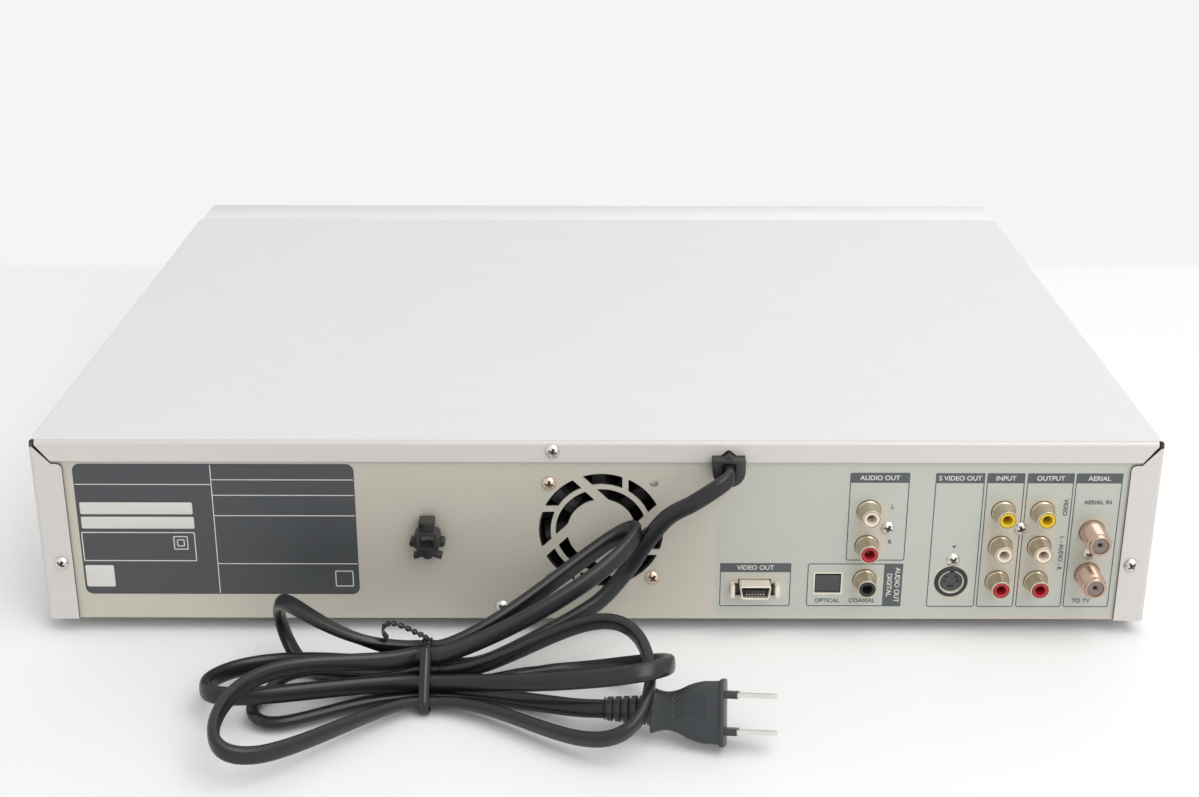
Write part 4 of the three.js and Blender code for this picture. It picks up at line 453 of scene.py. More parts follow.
# A darker, warmer copy of the cover's paint for the upright lip and flanges, as painted shade for
# the weaker light that falls on them.
shaded_cover_paint = finish("cover_paint_painted_shade", tone(212, 207, 203), 0.42, metallic=0.15, spread=0.04,
                    scale=14, gloss=0.08, grain=(2600, 0.012), edge=(0.4, 0.35, STEEL_EDGE))
zinc_steel = finish("zinc_plating", tone(186, 188, 186), 0.38, metallic=0.85, spread=0.16,
                    scale=70, gloss=0.25, grain=(500, 0.01), edge=(0.3, 0.4, STEEL_EDGE))
bright_steel = finish("polished_steel", tone(222, 220, 214), 0.34, metallic=0.95, spread=0.08,
                      scale=120, gloss=0.15, grain=(3000, 0.004))
brass_yellow = finish("brass_plating", tone(222, 204, 182), 0.32, metallic=0.9, spread=0.12,
                      scale=150, gloss=0.15, grain=(3000, 0.004))
champagne_metal = finish("champagne_plating", tone(200, 188, 165), 0.3, metallic=0.8, spread=0.08,
                         scale=90, gloss=0.12, grain=(1800, 0.006))
tin_plate = finish("tin_plate", tone(232, 226, 212), 0.35, metallic=0.3, spread=0.05, scale=120)
nickel = finish("nickel", tone(190, 166, 148), 0.27, metallic=0.9, spread=0.1, scale=130,
                gloss=0.14)
print("materials of the packed model, with metals and paints:", len(bpy.data.materials))

# %% Plastics, rubbers and boards
silver_plastic = finish("silver_moulding", tone(234, 235, 234), 0.4, metallic=0.1, spread=0.04,
                        scale=25, grain=(2200, 0.015), edge=(0.4, 0.3, STEEL_EDGE), dust=0.04)
black_plastic = finish("black_moulding", tone(37, 38, 39), 0.4, spread=0.15, scale=60,
                       grain=(1600, 0.02), edge=(0.3, 0.35, tone(86, 88, 92)), dust=0.06)
grey_plastic = finish("grey_moulding", tone(66, 69, 72), 0.45, spread=0.1, scale=60,
                      grain=(1500, 0.02), edge=(0.3, 0.3, tone(110, 112, 114)))
white_plastic = finish("white_moulding", tone(226, 222, 212), 0.4, spread=0.05, scale=50,
                       grain=(1500, 0.015))
smoked_acrylic = finish("smoked_window", tone(22, 23, 27), 0.08, spread=0.1, scale=30, gloss=0.03,
                        own={"Coat Weight": 0.6, "Coat Roughness": 0.04})
board_green = finish("board_lacquer", tone(58, 92, 62), 0.5, spread=0.25, scale=220, gloss=0.2,
                     grain=(900, 0.03))
rubber_black = finish("black_rubber", tone(30, 30, 31), 0.75, spread=0.12, scale=80,
                      grain=(1800, 0.03), dust=0.1)
fan_black = finish("fan_black", tone(14, 14, 15), 0.5, spread=0.15, scale=60)
cord_sheath = finish("cord_sheath", tone(24, 27, 29), 0.29, spread=0.25, scale=35, gloss=0.14,
                     grain=(1100, 0.01), dust=0.05, own={"Specular IOR Level": 0.45})
moulded_vinyl = finish("moulded_vinyl", tone(46, 50, 53), 0.36, spread=0.1, scale=60,
                       grain=(1300, 0.02), edge=(0.3, 0.25, tone(78, 80, 84)), dust=0.05)
tie_film = finish("tie_film", tone(27, 30, 32), 0.2, spread=0.1, scale=200, gloss=0.1,
                  grain=(900, 0.02))
print("with plastics and rubbers:", len(bpy.data.materials))

# %% Inks and coloured insulators
plate_ink = finish("plate_ink", tone(68, 71, 74), 0.45, spread=0.05, scale=60, grain=(2400, 0.006))
dark_ink = finish("dark_ink", tone(84, 88, 91), 0.5, spread=0.05, scale=60)
pale_ink = finish("pale_ink", tone(216, 214, 208), 0.5, spread=0.03, scale=60)
INSULATOR_TONES = {
    "yellow": tone(222, 190, 40), "white": tone(232, 220, 204),
    "red": tone(176, 38, 50), "black": tone(34, 42, 42),
}
insulators = {
    colour: finish("insulator_" + colour, shade, 0.32, spread=0.05, scale=200)
    for colour, shade in INSULATOR_TONES.items()
}
# The socket tone closes the bottoms of the phono and aerial bores, where it is painted shade, and
# is the dark insert of the component socket.
socket_dark = finish("socket_dark", tone(30, 26, 22), 0.5, spread=0.1, scale=200)
aerial_insulator = finish("aerial_insulator", tone(132, 118, 110), 0.5, spread=0.06, scale=200)
print("with inks and insulators:", len(bpy.data.materials))


# %% [markdown]
# New pieces are grids of points worked out with numpy. A row of the grid is one loop round the
# piece, and the rows follow each other along it. Joining each point to its neighbours gives
# four-sided faces, and the first and last rows are closed with one face each.

# %% Skins from grids of points
def joined(index):
    """Four-sided faces between neighbours in a table of point numbers."""
    corners = [index[:-1, :-1], index[:-1, 1:], index[1:, 1:], index[1:, :-1]]
    return np.stack(corners, -1).reshape(-1, 4).tolist()


def skin(grid, wrap_rows=False):
    """Points and faces of a grid: each row is a closed loop, and rows are closed or capped."""
    rows, columns = grid.shape[:2]
    index = np.arange(rows * columns).reshape(rows, columns)
    looped = np.hstack([index, index[:, :1]])
    if wrap_rows:
        looped = np.vstack([looped, looped[:1]])
    faces = joined(looped)
    if not wrap_rows:
        faces += [index[0].tolist(), index[-1].tolist()]
    return grid.reshape(-1, 3), faces


def ride_with(thing, carrier):
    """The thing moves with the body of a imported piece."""
    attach(thing, nodes[carrier]["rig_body"])


def piece(name, skins, finishes, carrier, stands_for=(), sharp=35):
    """One object from several closed skins, each with its own finish. Edges that turn by more
    than the angle named sharp, in degrees, are shaded as edges."""
    finishes = finishes if isinstance(finishes, list) else [finishes] * len(skins)
    starts = np.cumsum([0] + [len(points) for points, _ in skins]).tolist()
    points = np.concatenate([own for own, _ in skins]) * MM
    faces = [[corner + start for corner in face]
             for (_, own), start in zip(skins, starts) for face in own]
    mesh = bpy.data.meshes.new(name)
    mesh.from_pydata(points, [], faces)
    used = list(dict.fromkeys(finishes))
    for material in used:
        mesh.materials.append(material)
    counts = [len(own) for _, own in skins]
    slots = np.repeat([used.index(material) for material in finishes], counts)
    mesh.polygons.foreach_set("material_index", slots.astype(np.int32))
    shell = bmesh.new()
    shell.from_mesh(mesh)
    bmesh.ops.recalc_face_normals(shell, faces=shell.faces)
    shell.to_mesh(mesh)
    shell.free()
    mesh.shade_smooth()
    mesh.set_sharp_from_angle(angle=math.radians(sharp))
    thing = add_object(name, mesh)
    ride_with(thing, carrier)
    if stands_for:
        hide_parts(*stands_for)
    print(f"  {name}: {len(mesh.polygons)} faces, moves with {carrier}")
    return thing


# %% Directions: across, up and out of a face
BEHIND = np.array([[1, 0, 0], [0, 0, 1], [0, 1, 0]], float)
IN_FRONT = np.array([[1, 0, 0], [0, 0, 1], [0, -1, 0]], float)
AXIS_GAP = 0.02


def set_on(points, centre, axes=BEHIND):
    """Points given across, up and out, moved to a centre on a face."""
    return np.asarray(points) @ axes + np.asarray(centre)


def turned(profile, centre, axes=BEHIND, sides=48, wrap_rows=False):
    """A profile of (radius, height) turned about the outward line: radius times the cosine
    and the sine of the angle, and the height along the line."""
    radius, height = np.array(profile, float).T[:, :, None]
    angle = np.linspace(0, 2 * math.pi, sides, endpoint=False)
    radius = np.maximum(radius, AXIS_GAP)
    grid = np.stack(np.broadcast_arrays(
        radius * np.cos(angle), radius * np.sin(angle), height + 0 * angle), -1)
    return skin(set_on(grid, centre, axes), wrap_rows)


def turned_ring(profile, centre, axes=BEHIND, sides=48):
    """A turned profile whose end joins its start, so that it leaves a hole in the middle."""
    return turned(profile, centre, axes, sides, wrap_rows=True)


def round_box(half, corner, steps=6):
    """Outline of a rectangle with round corners: quarter circles about four corner centres."""
    corner = max(corner, 0.01)
    angle = (np.arange(4)[:, None] + np.linspace(0, 1, steps)) * math.pi / 2
    circle = np.stack([np.cos(angle), np.sin(angle)], -1) * corner
    signs = np.array([[1, 1], [-1, 1], [-1, -1], [1, -1]])[:, None]
    return (signs * (np.array(half) - corner) + circle).reshape(-1, 2)


def layers(outlines, heights, centre, axes=BEHIND, wrap_rows=False):
    """Outlines set one above the other along the outward line."""
    grid = np.stack([
        np.column_stack([outline, np.full(len(outline), height)])
        for outline, height in zip(outlines, heights)])
    return skin(set_on(grid, centre, axes), wrap_rows)


def slab(centre, half, corner, low, high, edge=0.2):
    """A flat block with round corners and a rounded outer edge: the outline shrinks by
    edge * (1 - cos a) while it rises by edge * sin a."""
    angle = np.linspace(0, math.pi / 2, 4)
    insets = np.concatenate([[0], edge * (1 - np.cos(angle))])
    heights = np.concatenate([[low], high - edge + edge * np.sin(angle)])
    outlines = [round_box(np.array(half) - inset, corner - inset) for inset in insets]
    return layers(outlines, heights, centre)


def hoop(centre, half, corner, wall, low, high):
    """A flat frame: up the outer outline and down the inner one."""
    outer = round_box(half, corner)
    inner = round_box(np.array(half) - wall, corner - wall)
    return layers([outer, outer, inner, inner], [low, high, high, low], centre, wrap_rows=True)


print("points round a rectangle with round corners:", len(round_box((2, 1), 0.5)))

# %% [markdown]
# The mains lead comes first, because it decides how much room the model takes. It is a flat
# cord, 6.6 mm wide, that leaves the bushing, runs down to a hank of seven bights under a
# twist tie, and ends in its plug. A curve object with a bevel would twist it at the turns, so
# its flat section is carried along a path with a width direction of its own at every point.

# %% The cord's route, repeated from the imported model, in metres: across, behind the panel, up
CORD_WIDTH = 6.6
CORD_THICK = 4.2
LEAD_ROUTE = [
    (-0.0500, 0.0051, 0.0713), (-0.0500, 0.0075, 0.0713), (-0.0500, 0.0098, 0.0713),
    (-0.0484, 0.0126, 0.0707), (-0.0445, 0.0146, 0.0686), (-0.0360, 0.0150, 0.0628),
    (-0.0271, 0.0142, 0.0570), (-0.0185, 0.0136, 0.0455), (-0.0113, 0.0135, 0.0336),
    (-0.0018, 0.0180, 0.0239), (0.0080, 0.0235, 0.0194), (0.0204, 0.0300, 0.0152),
    (0.0320, 0.0365, 0.0119), (0.0410, 0.0420, 0.0105), (0.0470, 0.0442, 0.0102),
    (0.0510, 0.0442, 0.0102), (0.0547, 0.0442, 0.0102),
]
TAIL_ROUTE = [
    (0.0547, 0.0534, 0.0038), (0.0510, 0.0534, 0.0038), (0.0475, 0.0536, 0.0038),
    (0.0400, 0.0548, 0.0039), (0.0320, 0.0570, 0.0041), (0.0240, 0.0603, 0.0048),
    (0.0160, 0.0644, 0.0061), (0.0090, 0.0686, 0.0077), (0.0036, 0.0717, 0.0091),
    (0.0004, 0.0724, 0.00945), (-0.0029, 0.0730, 0.0097),
]
print("given points of lead and tail:", len(LEAD_ROUTE), "and", len(TAIL_ROUTE))

# %% The hank: slots of the strands in the tie, and the bights between them
UPRIGHT, FLAT, LEANING = 0.0, math.pi / 2, math.pi / 3
TIE_X = 62.0
TIE_HALF = 4.0
HANK_START = 55.0
HANK_SLOTS = [
    (44.2, 10.2, UPRIGHT), (55.6, 9.6, UPRIGHT), (46.0, 3.4, FLAT), (44.2, 17.4, UPRIGHT),
    (49.2, 17.4, UPRIGHT), (60.2, 3.9, LEANING), (49.2, 10.2, UPRIGHT), (53.4, 3.4, FLAT),
]
HANK_BIGHTS = [
    dict(side=1, reach=75, open=(-19.5, -3.5), lift=(9.5, 1), powers=(1.1, 2.7), roll=0.1),
    dict(side=-1, reach=84, open=(31.5, 15), lift=(17, 18.5), powers=(1.25, 1.8), roll=0.4),
    dict(side=1, reach=53.5, open=(-6, -19), lift=(-19.5, 11.5), powers=(1.2, 3.35), roll=0.1),
    dict(side=-1, reach=73, open=(-12, 2), lift=(-32.5, 33.5), powers=(1.4, 1.3), roll=0.35),
    dict(side=1, reach=63.5, open=(-25.5, 4), lift=(43, 8), powers=(1.25, 1.05), roll=0.1),
    dict(side=-1, reach=77, open=(36.5, -14.5), lift=(19.5, 17), powers=(1.4, 1.2), roll=0),
    dict(side=1, reach=57.5, open=(-19, 18), lift=(12, -12), powers=(1.6, 1.15), roll=-0.45),
]
BIGHT_STEPS = 96
FACING_WEIGHT = 1.5
FLOOR_GAP = 0.35
FLOOR_EASE = 1.5


def lean_of(angle):
    """Width direction at a lean from upright, towards the back."""
    angle = np.asarray(angle, float)
    return np.stack([0 * angle, np.sin(angle), np.cos(angle)], -1)


def bight(shape, start, end):
    """Points and widths of one bight. With a = 2 pi s and out = (1 - cos a) / 2, the cord goes
    out by reach * out, opens by sin a * out ** p and lifts by out ** q."""
    share = np.arange(1, BIGHT_STEPS) / BIGHT_STEPS
    ease = share * share * (3 - 2 * share)
    out = (1 - np.cos(2 * math.pi * share)) / 2
    swing = np.sin(2 * math.pi * share) * out ** shape["powers"][0]
    hump = out ** shape["powers"][1]
    start_place, end_place = np.array(start[:2]), np.array(end[:2])
    plane = (start_place + np.outer(ease, end_place - start_place)
             + np.outer(swing, shape["open"]) + np.outer(hump, shape["lift"]))
    across = TIE_X + shape["side"] * (TIE_HALF + shape["reach"] * out)
    facing = np.array([-shape["open"][1], shape["open"][0]]) / np.hypot(*shape["open"])
    leans = lean_of([start[2], end[2]])
    if facing @ leans.sum(0)[1:] < 0:
        facing = -facing
    cosine, sine = math.cos(shape["roll"]), math.sin(shape["roll"])
    facing = np.array([0, cosine * facing[0] - sine * facing[1],
                       sine * facing[0] + cosine * facing[1]])
    width = (np.outer((1 - ease) * (1 - out), leans[0]) + np.outer(ease * (1 - out), leans[1])
             + np.outer(FACING_WEIGHT * out, facing))
    return np.column_stack([across, plane]), width


def square_widths(points, widths):
    """Directions along a path, and widths turned square to them without a flip."""
    runs = np.gradient(points, axis=0)
    runs /= np.linalg.norm(runs, axis=1)[:, None]
    widths = widths - (widths * runs).sum(1)[:, None] * runs
    widths /= np.linalg.norm(widths, axis=1)[:, None]
    turns = np.sign((widths[1:] * widths[:-1]).sum(1))
    return runs, widths * np.concatenate([[1], np.cumprod(turns)])[:, None]


def hank_path():
    """All seven bights in one run, eased up onto the ground where they would sink below it: a
    height h over the lowest place becomes (h + sqrt(h * h + ease * ease)) / 2."""
    parts = [bight(shape, *HANK_SLOTS[k:k + 2]) for k, shape in enumerate(HANK_BIGHTS)]
    ends = [(np.array([[HANK_START, *slot[:2]]]), lean_of([slot[2]]))
            for slot in (HANK_SLOTS[0], HANK_SLOTS[-1])]
    parts = [ends[0], *parts, ends[1]]
    points = np.concatenate([own for own, _ in parts])
    widths = np.concatenate([own for _, own in parts])
    widths = square_widths(points, widths)[1]
    up = np.abs(widths[:, 2])
    least = (up * CORD_WIDTH + np.sqrt(1 - up * up) * CORD_THICK) / 2 + FLOOR_GAP
    above = points[:, 2] - least
    points[:, 2] = least + (above + np.hypot(above, FLOOR_EASE)) / 2
    return points, widths


print("bights in the hank:", len(HANK_BIGHTS), "with", len(hank_path()[0]), "points")


# %% Smooth curves through given points
def smooth_curve(place, values, wanted):
    """Cubic pieces that pass through the values with the slopes of their neighbours. With t
    from 0 to 1 on a piece, its ends weigh 2 t^3 - 3 t^2 + 1 and 3 t^2 - 2 t^3, and its slopes,
    times the piece's length, t^3 - 2 t^2 + t and t^3 - t^2."""
    slopes = np.gradient(values, place, axis=0)
    cell = np.clip(np.searchsorted(place, wanted, side="right") - 1, 0, len(place) - 2)
    span = place[cell + 1] - place[cell]
    t = np.clip((wanted - place[cell]) / span, 0, 1)
    if values.ndim == 2:
        t, span = t[:, None], span[:, None]
    return ((2 * t ** 3 - 3 * t ** 2 + 1) * values[cell]
            + (t ** 3 - 2 * t ** 2 + t) * span * slopes[cell]
            + (3 * t ** 2 - 2 * t ** 3) * values[cell + 1]
            + (t ** 3 - t ** 2) * span * slopes[cell + 1])


def smooth_route(route, step):
    """A smooth line through points, about one step apart. The curve's place grows with the
    square root of the distance between points, which keeps short spans from overshooting."""
    points = np.array(route) / MM
    gaps = np.linalg.norm(np.diff(points, axis=0), axis=1)
    place = np.concatenate([[0], np.cumsum(np.sqrt(gaps))])
    return smooth_curve(place, points, np.linspace(0, place[-1], int(gaps.sum() / step) + 1))


print("points along the lead to the hank:", len(smooth_route(LEAD_ROUTE, 2)))

# %% Section of the cord, carried along the route
ROUTE_STEP = 2
PLUG_LEAN = 0.49
EASED_DEPTH = 6
DEPTH_EASE = 0.12
CORD_SQUARENESS = 2.7


def oval(angle, squareness):
    """Points of |y| ** n + |z| ** n = 1: cosine and sine to the power 2 / n, with their signs."""
    parts = np.stack([np.cos(angle), np.sin(angle)])
    return np.sign(parts) * np.abs(parts) ** (2 / squareness)


def flat_section(steps=32):
    """A flat oval as wide and as thick as the cord."""
    across, through = oval(np.linspace(0, 2 * math.pi, steps, endpoint=False), CORD_SQUARENESS)
    return np.stack([CORD_WIDTH / 2 * across, CORD_THICK / 2 * through], -1)


def carried(points, widths, section):
    """A section of (across the width, through the thickness) carried along a path."""
    runs, widths = square_widths(points, widths)
    through = np.cross(runs, widths)
    sections = np.broadcast_to(section, (len(points), *np.shape(section)[-2:]))
    return skin(points[:, None] + sections[..., :1] * widths[:, None]
                + sections[..., 1:] * through[:, None])


def cord_path():
    """Lead, hank and tail in one run. The part nearest the viewer is drawn back a little, so
    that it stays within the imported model's depth."""
    lead = smooth_route(LEAD_ROUTE, ROUTE_STEP)
    tail = smooth_route(TAIL_ROUTE, ROUTE_STEP)
    hank, hank_widths = hank_path()
    tail_leans = -FLAT + (FLAT - PLUG_LEAN) * np.linspace(0, 1, len(tail))
    points = np.concatenate([lead, hank, tail])
    widths = np.concatenate([lean_of(np.zeros(len(lead))), hank_widths, lean_of(tail_leans)])
    points[:, 1] += PANEL_Y
    reach = highest("cord_hank", 1) - EASED_DEPTH
    points[:, 1] -= DEPTH_EASE * np.maximum(points[:, 1] - reach, 0)
    return points, widths


cord_points, cord_widths = cord_path()
mains_cord = piece("mains_cord", [carried(cord_points, cord_widths, flat_section())], cord_sheath,
                   "cord_hank", ["cord_lead", "cord_hank", "cord_tail"], sharp=60)

# %% [markdown]
# The plug is a flat moulding that stands on the edge of its flange. Seen from its broad side it
# widens in a curve from a waist to the flange, which a block cannot show. Each cross-section is
# a rounded rectangle whose half sizes follow two smooth curves along the plug. The grip pad is
# a small relief: a sunk floor inside a rim, crossed by slanting ridges.

# %% Plug's own directions
PLUG_PLACE = np.array([-45.3, PANEL_Y + 80.9, 13.0])
PLUG_YAW = -0.185
PLUG_PITCH = 0.074


def plug_axes():
    """Rows are the plug's along, deep and tall directions: lean, then yaw, then pitch."""
    turn = (Matrix.Rotation(PLUG_PITCH, 3, "Y") @ Matrix.Rotation(PLUG_YAW, 3, "Z")
            @ Matrix.Rotation(PLUG_LEAN, 3, "X"))
    return np.array(turn).T


PLUG_AXES = plug_axes()
PLUG_START, PLUG_END = 1.2, 26.0
PLUG_TALL = [(1.2, 11.2), (3.5, 10.95), (8.6, 10.6), (12.7, 9.4), (16.7, 7.5), (20.8, 6.7),
             (23.3, 7.1), (26.0, 8.1)]
PLUG_DEEP = [(1.2, 4.5), (12.7, 4.2), (18.0, 3.6), (20.8, 3.4), (23.3, 3.5), (26.0, 3.9)]
PLUG_SQUARENESS = 4.5


def eased(stations, along):
    """Values of a smooth curve through (place, value) stations."""
    place, value = np.array(stations).T
    return smooth_curve(place, value, along)


def squarish(along, deep, tall, squareness, sides=56):
    """Loops whose points satisfy |y / deep| ** n + |z / tall| ** n = 1 at each place along."""
    y, z = oval(np.linspace(0, 2 * math.pi, sides, endpoint=False), squareness)
    grid = np.stack(np.broadcast_arrays(along[:, None] + 0 * y, deep[:, None] * y,
                                        tall[:, None] * z), -1)
    return skin(set_on(grid, PLUG_PLACE, PLUG_AXES))


print("plug's half height at its waist:", round(float(eased(PLUG_TALL, np.array([20.8]))[0]), 2))


# %% Body, flange, ribbed relief and blade sleeves of the plug
FLANGE_THICK = 1.8
FLANGE_HALF = (11.8, 5.0)
FLANGE_EDGE_ROUND = 0.45
FLANGE_SQUARENESS = 7
RIB_COUNT = 6
RIB_LENGTH = 17.0
RIB_SHARE = 0.66
GROOVE_EASE = 0.08
GROOVE_DROP = 0.24
RELIEF_ENDS = ((5.4, 4.4), (4.1, 3.2))
RELIEF_SQUARENESS = 2.6
RELIEF_SUNK = 0.5
BLADE_OFFSET = 6.35
SLEEVE_LENGTH = 4.4


def plug_body_skins():
    """The body by its two curves, with a rounded end, and the flange as a flat block whose
    edge is drawn in at both faces."""
    along = np.linspace(PLUG_START, PLUG_END, 60)
    rounded = np.concatenate([along, PLUG_END + np.array([0.25, 0.4])])
    shrink = np.concatenate([np.zeros(len(along)), [0.25, 0.8]])
    deep = eased(PLUG_DEEP, np.minimum(rounded, PLUG_END)) - shrink
    tall = eased(PLUG_TALL, np.minimum(rounded, PLUG_END)) - shrink
    edge = FLANGE_EDGE_ROUND * np.array([0, 0.3, 1])
    steps = np.concatenate([edge, FLANGE_THICK - edge[::-1]])
    inset = np.concatenate([edge[::-1], edge])
    flange = squarish(steps, FLANGE_HALF[1] - inset, FLANGE_HALF[0] - inset, FLANGE_SQUARENESS)
    return [squarish(rounded, deep, tall, PLUG_SQUARENESS), flange]


def relief_skin():
    """The relief's half sizes taper along it, and drop in a groove after each rib."""
    share = np.linspace(0, 1, RIB_COUNT * 16 + 1)
    rib = (share * RIB_COUNT) % 1
    groove = np.clip(np.minimum(rib - RIB_SHARE, 1 - rib) / GROOVE_EASE, 0, 1) * (share < 0.99)
    factor = 1 - GROOVE_DROP * groove
    (near_tall, near_deep), (far_tall, far_deep) = RELIEF_ENDS
    tall = (near_tall + (far_tall - near_tall) * share) * factor
    deep = (near_deep + (far_deep - near_deep) * share) * factor
    along = PLUG_END - RELIEF_SUNK + share * (RIB_LENGTH + RELIEF_SUNK)
    return squarish(along, deep, tall, RELIEF_SQUARENESS)


def sleeve_skin(side):
    """The black sleeve at the root of a blade, open like the blade's own section."""
    centre = PLUG_PLACE + np.array([0, 0, side * BLADE_OFFSET]) @ PLUG_AXES
    axes = PLUG_AXES[[1, 2, 0]] * np.array([[1], [1], [-1]])
    outer, inner = round_box((3.65, 1.25), 0.4), round_box((3.3, 0.9), 0.2)
    return layers([outer, outer, inner, inner], [-0.5, SLEEVE_LENGTH, SLEEVE_LENGTH, -0.5],
                  centre, axes, True)


print("plug with its relief:", PLUG_END + RIB_LENGTH, "mm long")

# %% Grip pad with slanting ridges
PAD_ALONG = (6.1, 18.7)
PAD_TALL = (-2.6, 6.4)
PAD_CORNER = 2.0
PAD_RIM = 0.5
PAD_RISE = 0.22
PAD_SINK = 0.35
PAD_SLOPE = 0.25
RIDGE_PITCH = 1.25
RIDGE_HEIGHT = 0.28


def grip_pad_skin(side):
    """Height over the body: a rim, then a sunk floor with ridges along x + z = constant. The
    body below it is deep * (1 - |z / tall| ** n) ** (1 / n)."""
    along = np.linspace(*PAD_ALONG, 84)
    tall = np.linspace(*PAD_TALL, 60)
    x, z = np.meshgrid(along, tall, indexing="ij")
    over = [np.maximum(np.abs(place - np.mean(ends)) - np.ptp(ends) / 2 + PAD_CORNER, 0)
            for place, ends in ((x, PAD_ALONG), (z, PAD_TALL))]
    depth_in = PAD_CORNER - np.hypot(*over)
    floor = np.clip((depth_in - PAD_RIM) / PAD_SLOPE, 0, 1)
    wave = np.sin(2 * math.pi * (x + z) / RIDGE_PITCH / math.sqrt(2))
    ridge = np.clip(0.5 + 0.9 * wave, 0, 1)
    deep, tall_half = eased(PLUG_DEEP, along)[:, None], eased(PLUG_TALL, along)[:, None]
    body = deep * (1 - np.abs(z / tall_half) ** PLUG_SQUARENESS) ** (1 / PLUG_SQUARENESS)
    height = body + PAD_RISE - floor * (PAD_SINK - RIDGE_HEIGHT * ridge)
    height = np.where(depth_in < 0.05, body - 0.8, height)
    top = np.stack([x, height, z], -1)
    under = np.stack([x, body - 1.2, z], -1)[:, ::-1]
    grid = np.concatenate([top, under], axis=1) * np.array([1, side, 1])
    return skin(set_on(grid, PLUG_PLACE, PLUG_AXES))


plug_moulding = piece(
    "plug_moulding",
    [*plug_body_skins(), relief_skin(), sleeve_skin(1), sleeve_skin(-1), grip_pad_skin(1),
     grip_pad_skin(-1)],
    moulded_vinyl, "plug_body", ["plug_body"], sharp=40)

# %% [markdown]
# The twist tie is a black plastic ribbon with a wire in its middle. It goes once round the
# strands, and its two ends are twisted together, so they show as a rope that ends in a flat
# tip. The band is a lens-shaped section carried round the strands, and the rope is the same
# ribbon turned many times as it goes along.

# %% Twist tie
BAND_OUTLINE = [
    (41.6, 19.6), (41.6, 4.0), (43.4, 1.0), (62.2, 0.9), (64.2, 3.2), (64.3, 6.4), (58.6, 13.0),
    (52.2, 19.6), (50.8, 21.2), (43.2, 21.2),
]
TIE_END = [
    (0.0620, 0.0470, 0.0216), (0.0616, 0.0470, 0.0228), (0.0630, 0.0470, 0.0242),
    (0.0661, 0.0470, 0.0259), (0.0705, 0.0470, 0.0283), (0.0748, 0.0470, 0.0296),
    (0.0772, 0.0470, 0.0286), (0.0777, 0.0470, 0.0259), (0.0762, 0.0470, 0.0234),
]
TIE_WIDTH, TIE_THICK, TIE_WIRE = 3.6, 0.35, 0.22
BAND_LIFT = 0.42
ROPE_WIDTH, ROPE_THICK, ROPE_WIRE = 2.1, 0.5, 0.3
ROPE_STEP = 0.25
TIE_TWISTS = 9
TWISTED_SHARE = 0.8
TIP_GROWTH = 0.8
WIRE_HALF = 0.5


def cut_corners(outline, rounds=3):
    """Each round puts two points on every side, a quarter and three quarters along."""
    for _ in range(rounds):
        ahead = np.roll(outline, -1, axis=0)
        outline = np.stack([0.75 * outline + 0.25 * ahead, 0.25 * outline + 0.75 * ahead], 1)
        outline = outline.reshape(-1, 2)
    return outline


def ribbon_section(width, thick, wire, steps=20):
    """Half thickness of a ribbon with a wire: thin edges and a hump exp(-(x / w) ** 2)."""
    across = np.linspace(-1, 1, steps) * width / 2
    height = thick / 2 + wire * np.exp(-(across / WIRE_HALF) ** 2)
    outline = np.stack([across, height], -1)
    return np.concatenate([outline, outline[::-1] * (1, -1)])


def band_skin():
    """The ribbon once round the strands: each point of the outline moves away from the middle
    by the ribbon's own height and a little lift."""
    outline = cut_corners(np.array(BAND_OUTLINE))
    away = outline - outline.mean(0)
    away /= np.linalg.norm(away, axis=1)[:, None]
    section = ribbon_section(TIE_WIDTH, TIE_THICK, TIE_WIRE)
    rows = outline[:, None] + away[:, None] * (section[:, 1] + BAND_LIFT)[None, :, None]
    across = np.broadcast_to(TIE_X + section[:, 0], rows.shape[:2])
    band = np.concatenate([across[..., None], rows], -1) + np.array([0, PANEL_Y, 0])
    return skin(band, wrap_rows=True)


def rope_skin():
    """The twisted ends: the ribbon's width turns by half a turn for each twist, and past the
    twisted share it stays as it is and grows into a flat tip."""
    points = smooth_route(TIE_END, ROPE_STEP)
    points[:, 1] += PANEL_Y
    share = np.linspace(0, 1, len(points))
    runs = np.gradient(points, axis=0)
    runs /= np.linalg.norm(runs, axis=1)[:, None]
    first = np.array([0.0, 1.0, 0.0])
    second = np.cross(runs, first)
    turn = TIE_TWISTS * math.pi * np.minimum(share / TWISTED_SHARE, 1)
    widths = np.cos(turn)[:, None] * first + np.sin(turn)[:, None] * second
    sizes = 1 + TIP_GROWTH * np.clip((share - TWISTED_SHARE) / 0.08, 0, 1)
    through = np.cross(runs, widths)
    section = ribbon_section(ROPE_WIDTH, ROPE_THICK, ROPE_WIRE)
    return skin(points[:, None] + section[None, :, :1] * (widths * sizes[:, None])[:, None]
                + section[None, :, 1:] * through[:, None])


twist_tie = piece("twist_tie", [band_skin(), rope_skin()], tie_film, "cord_tie",
                  ["cord_tie"], sharp=50)

# %% [markdown]
# A phono socket is a plated shell round a coloured ring that tells the signal, with a sleeve
# and a dark floor deep inside, whose dark tone is painted shade at the bottom of the bore.
# Turned profiles, one in another, give each its own material with a clean border. The imported
# model has the same sockets with fewer sides, which these stand for.

# %% Phono sockets
PHONO_REACH = 8.0
PHONO_BASE = 4.6
PHONO_BARREL = 4.1
PHONO_BORE = 1.75
PHONO_BODY = 6.0
PHONO_ROW = 14.9


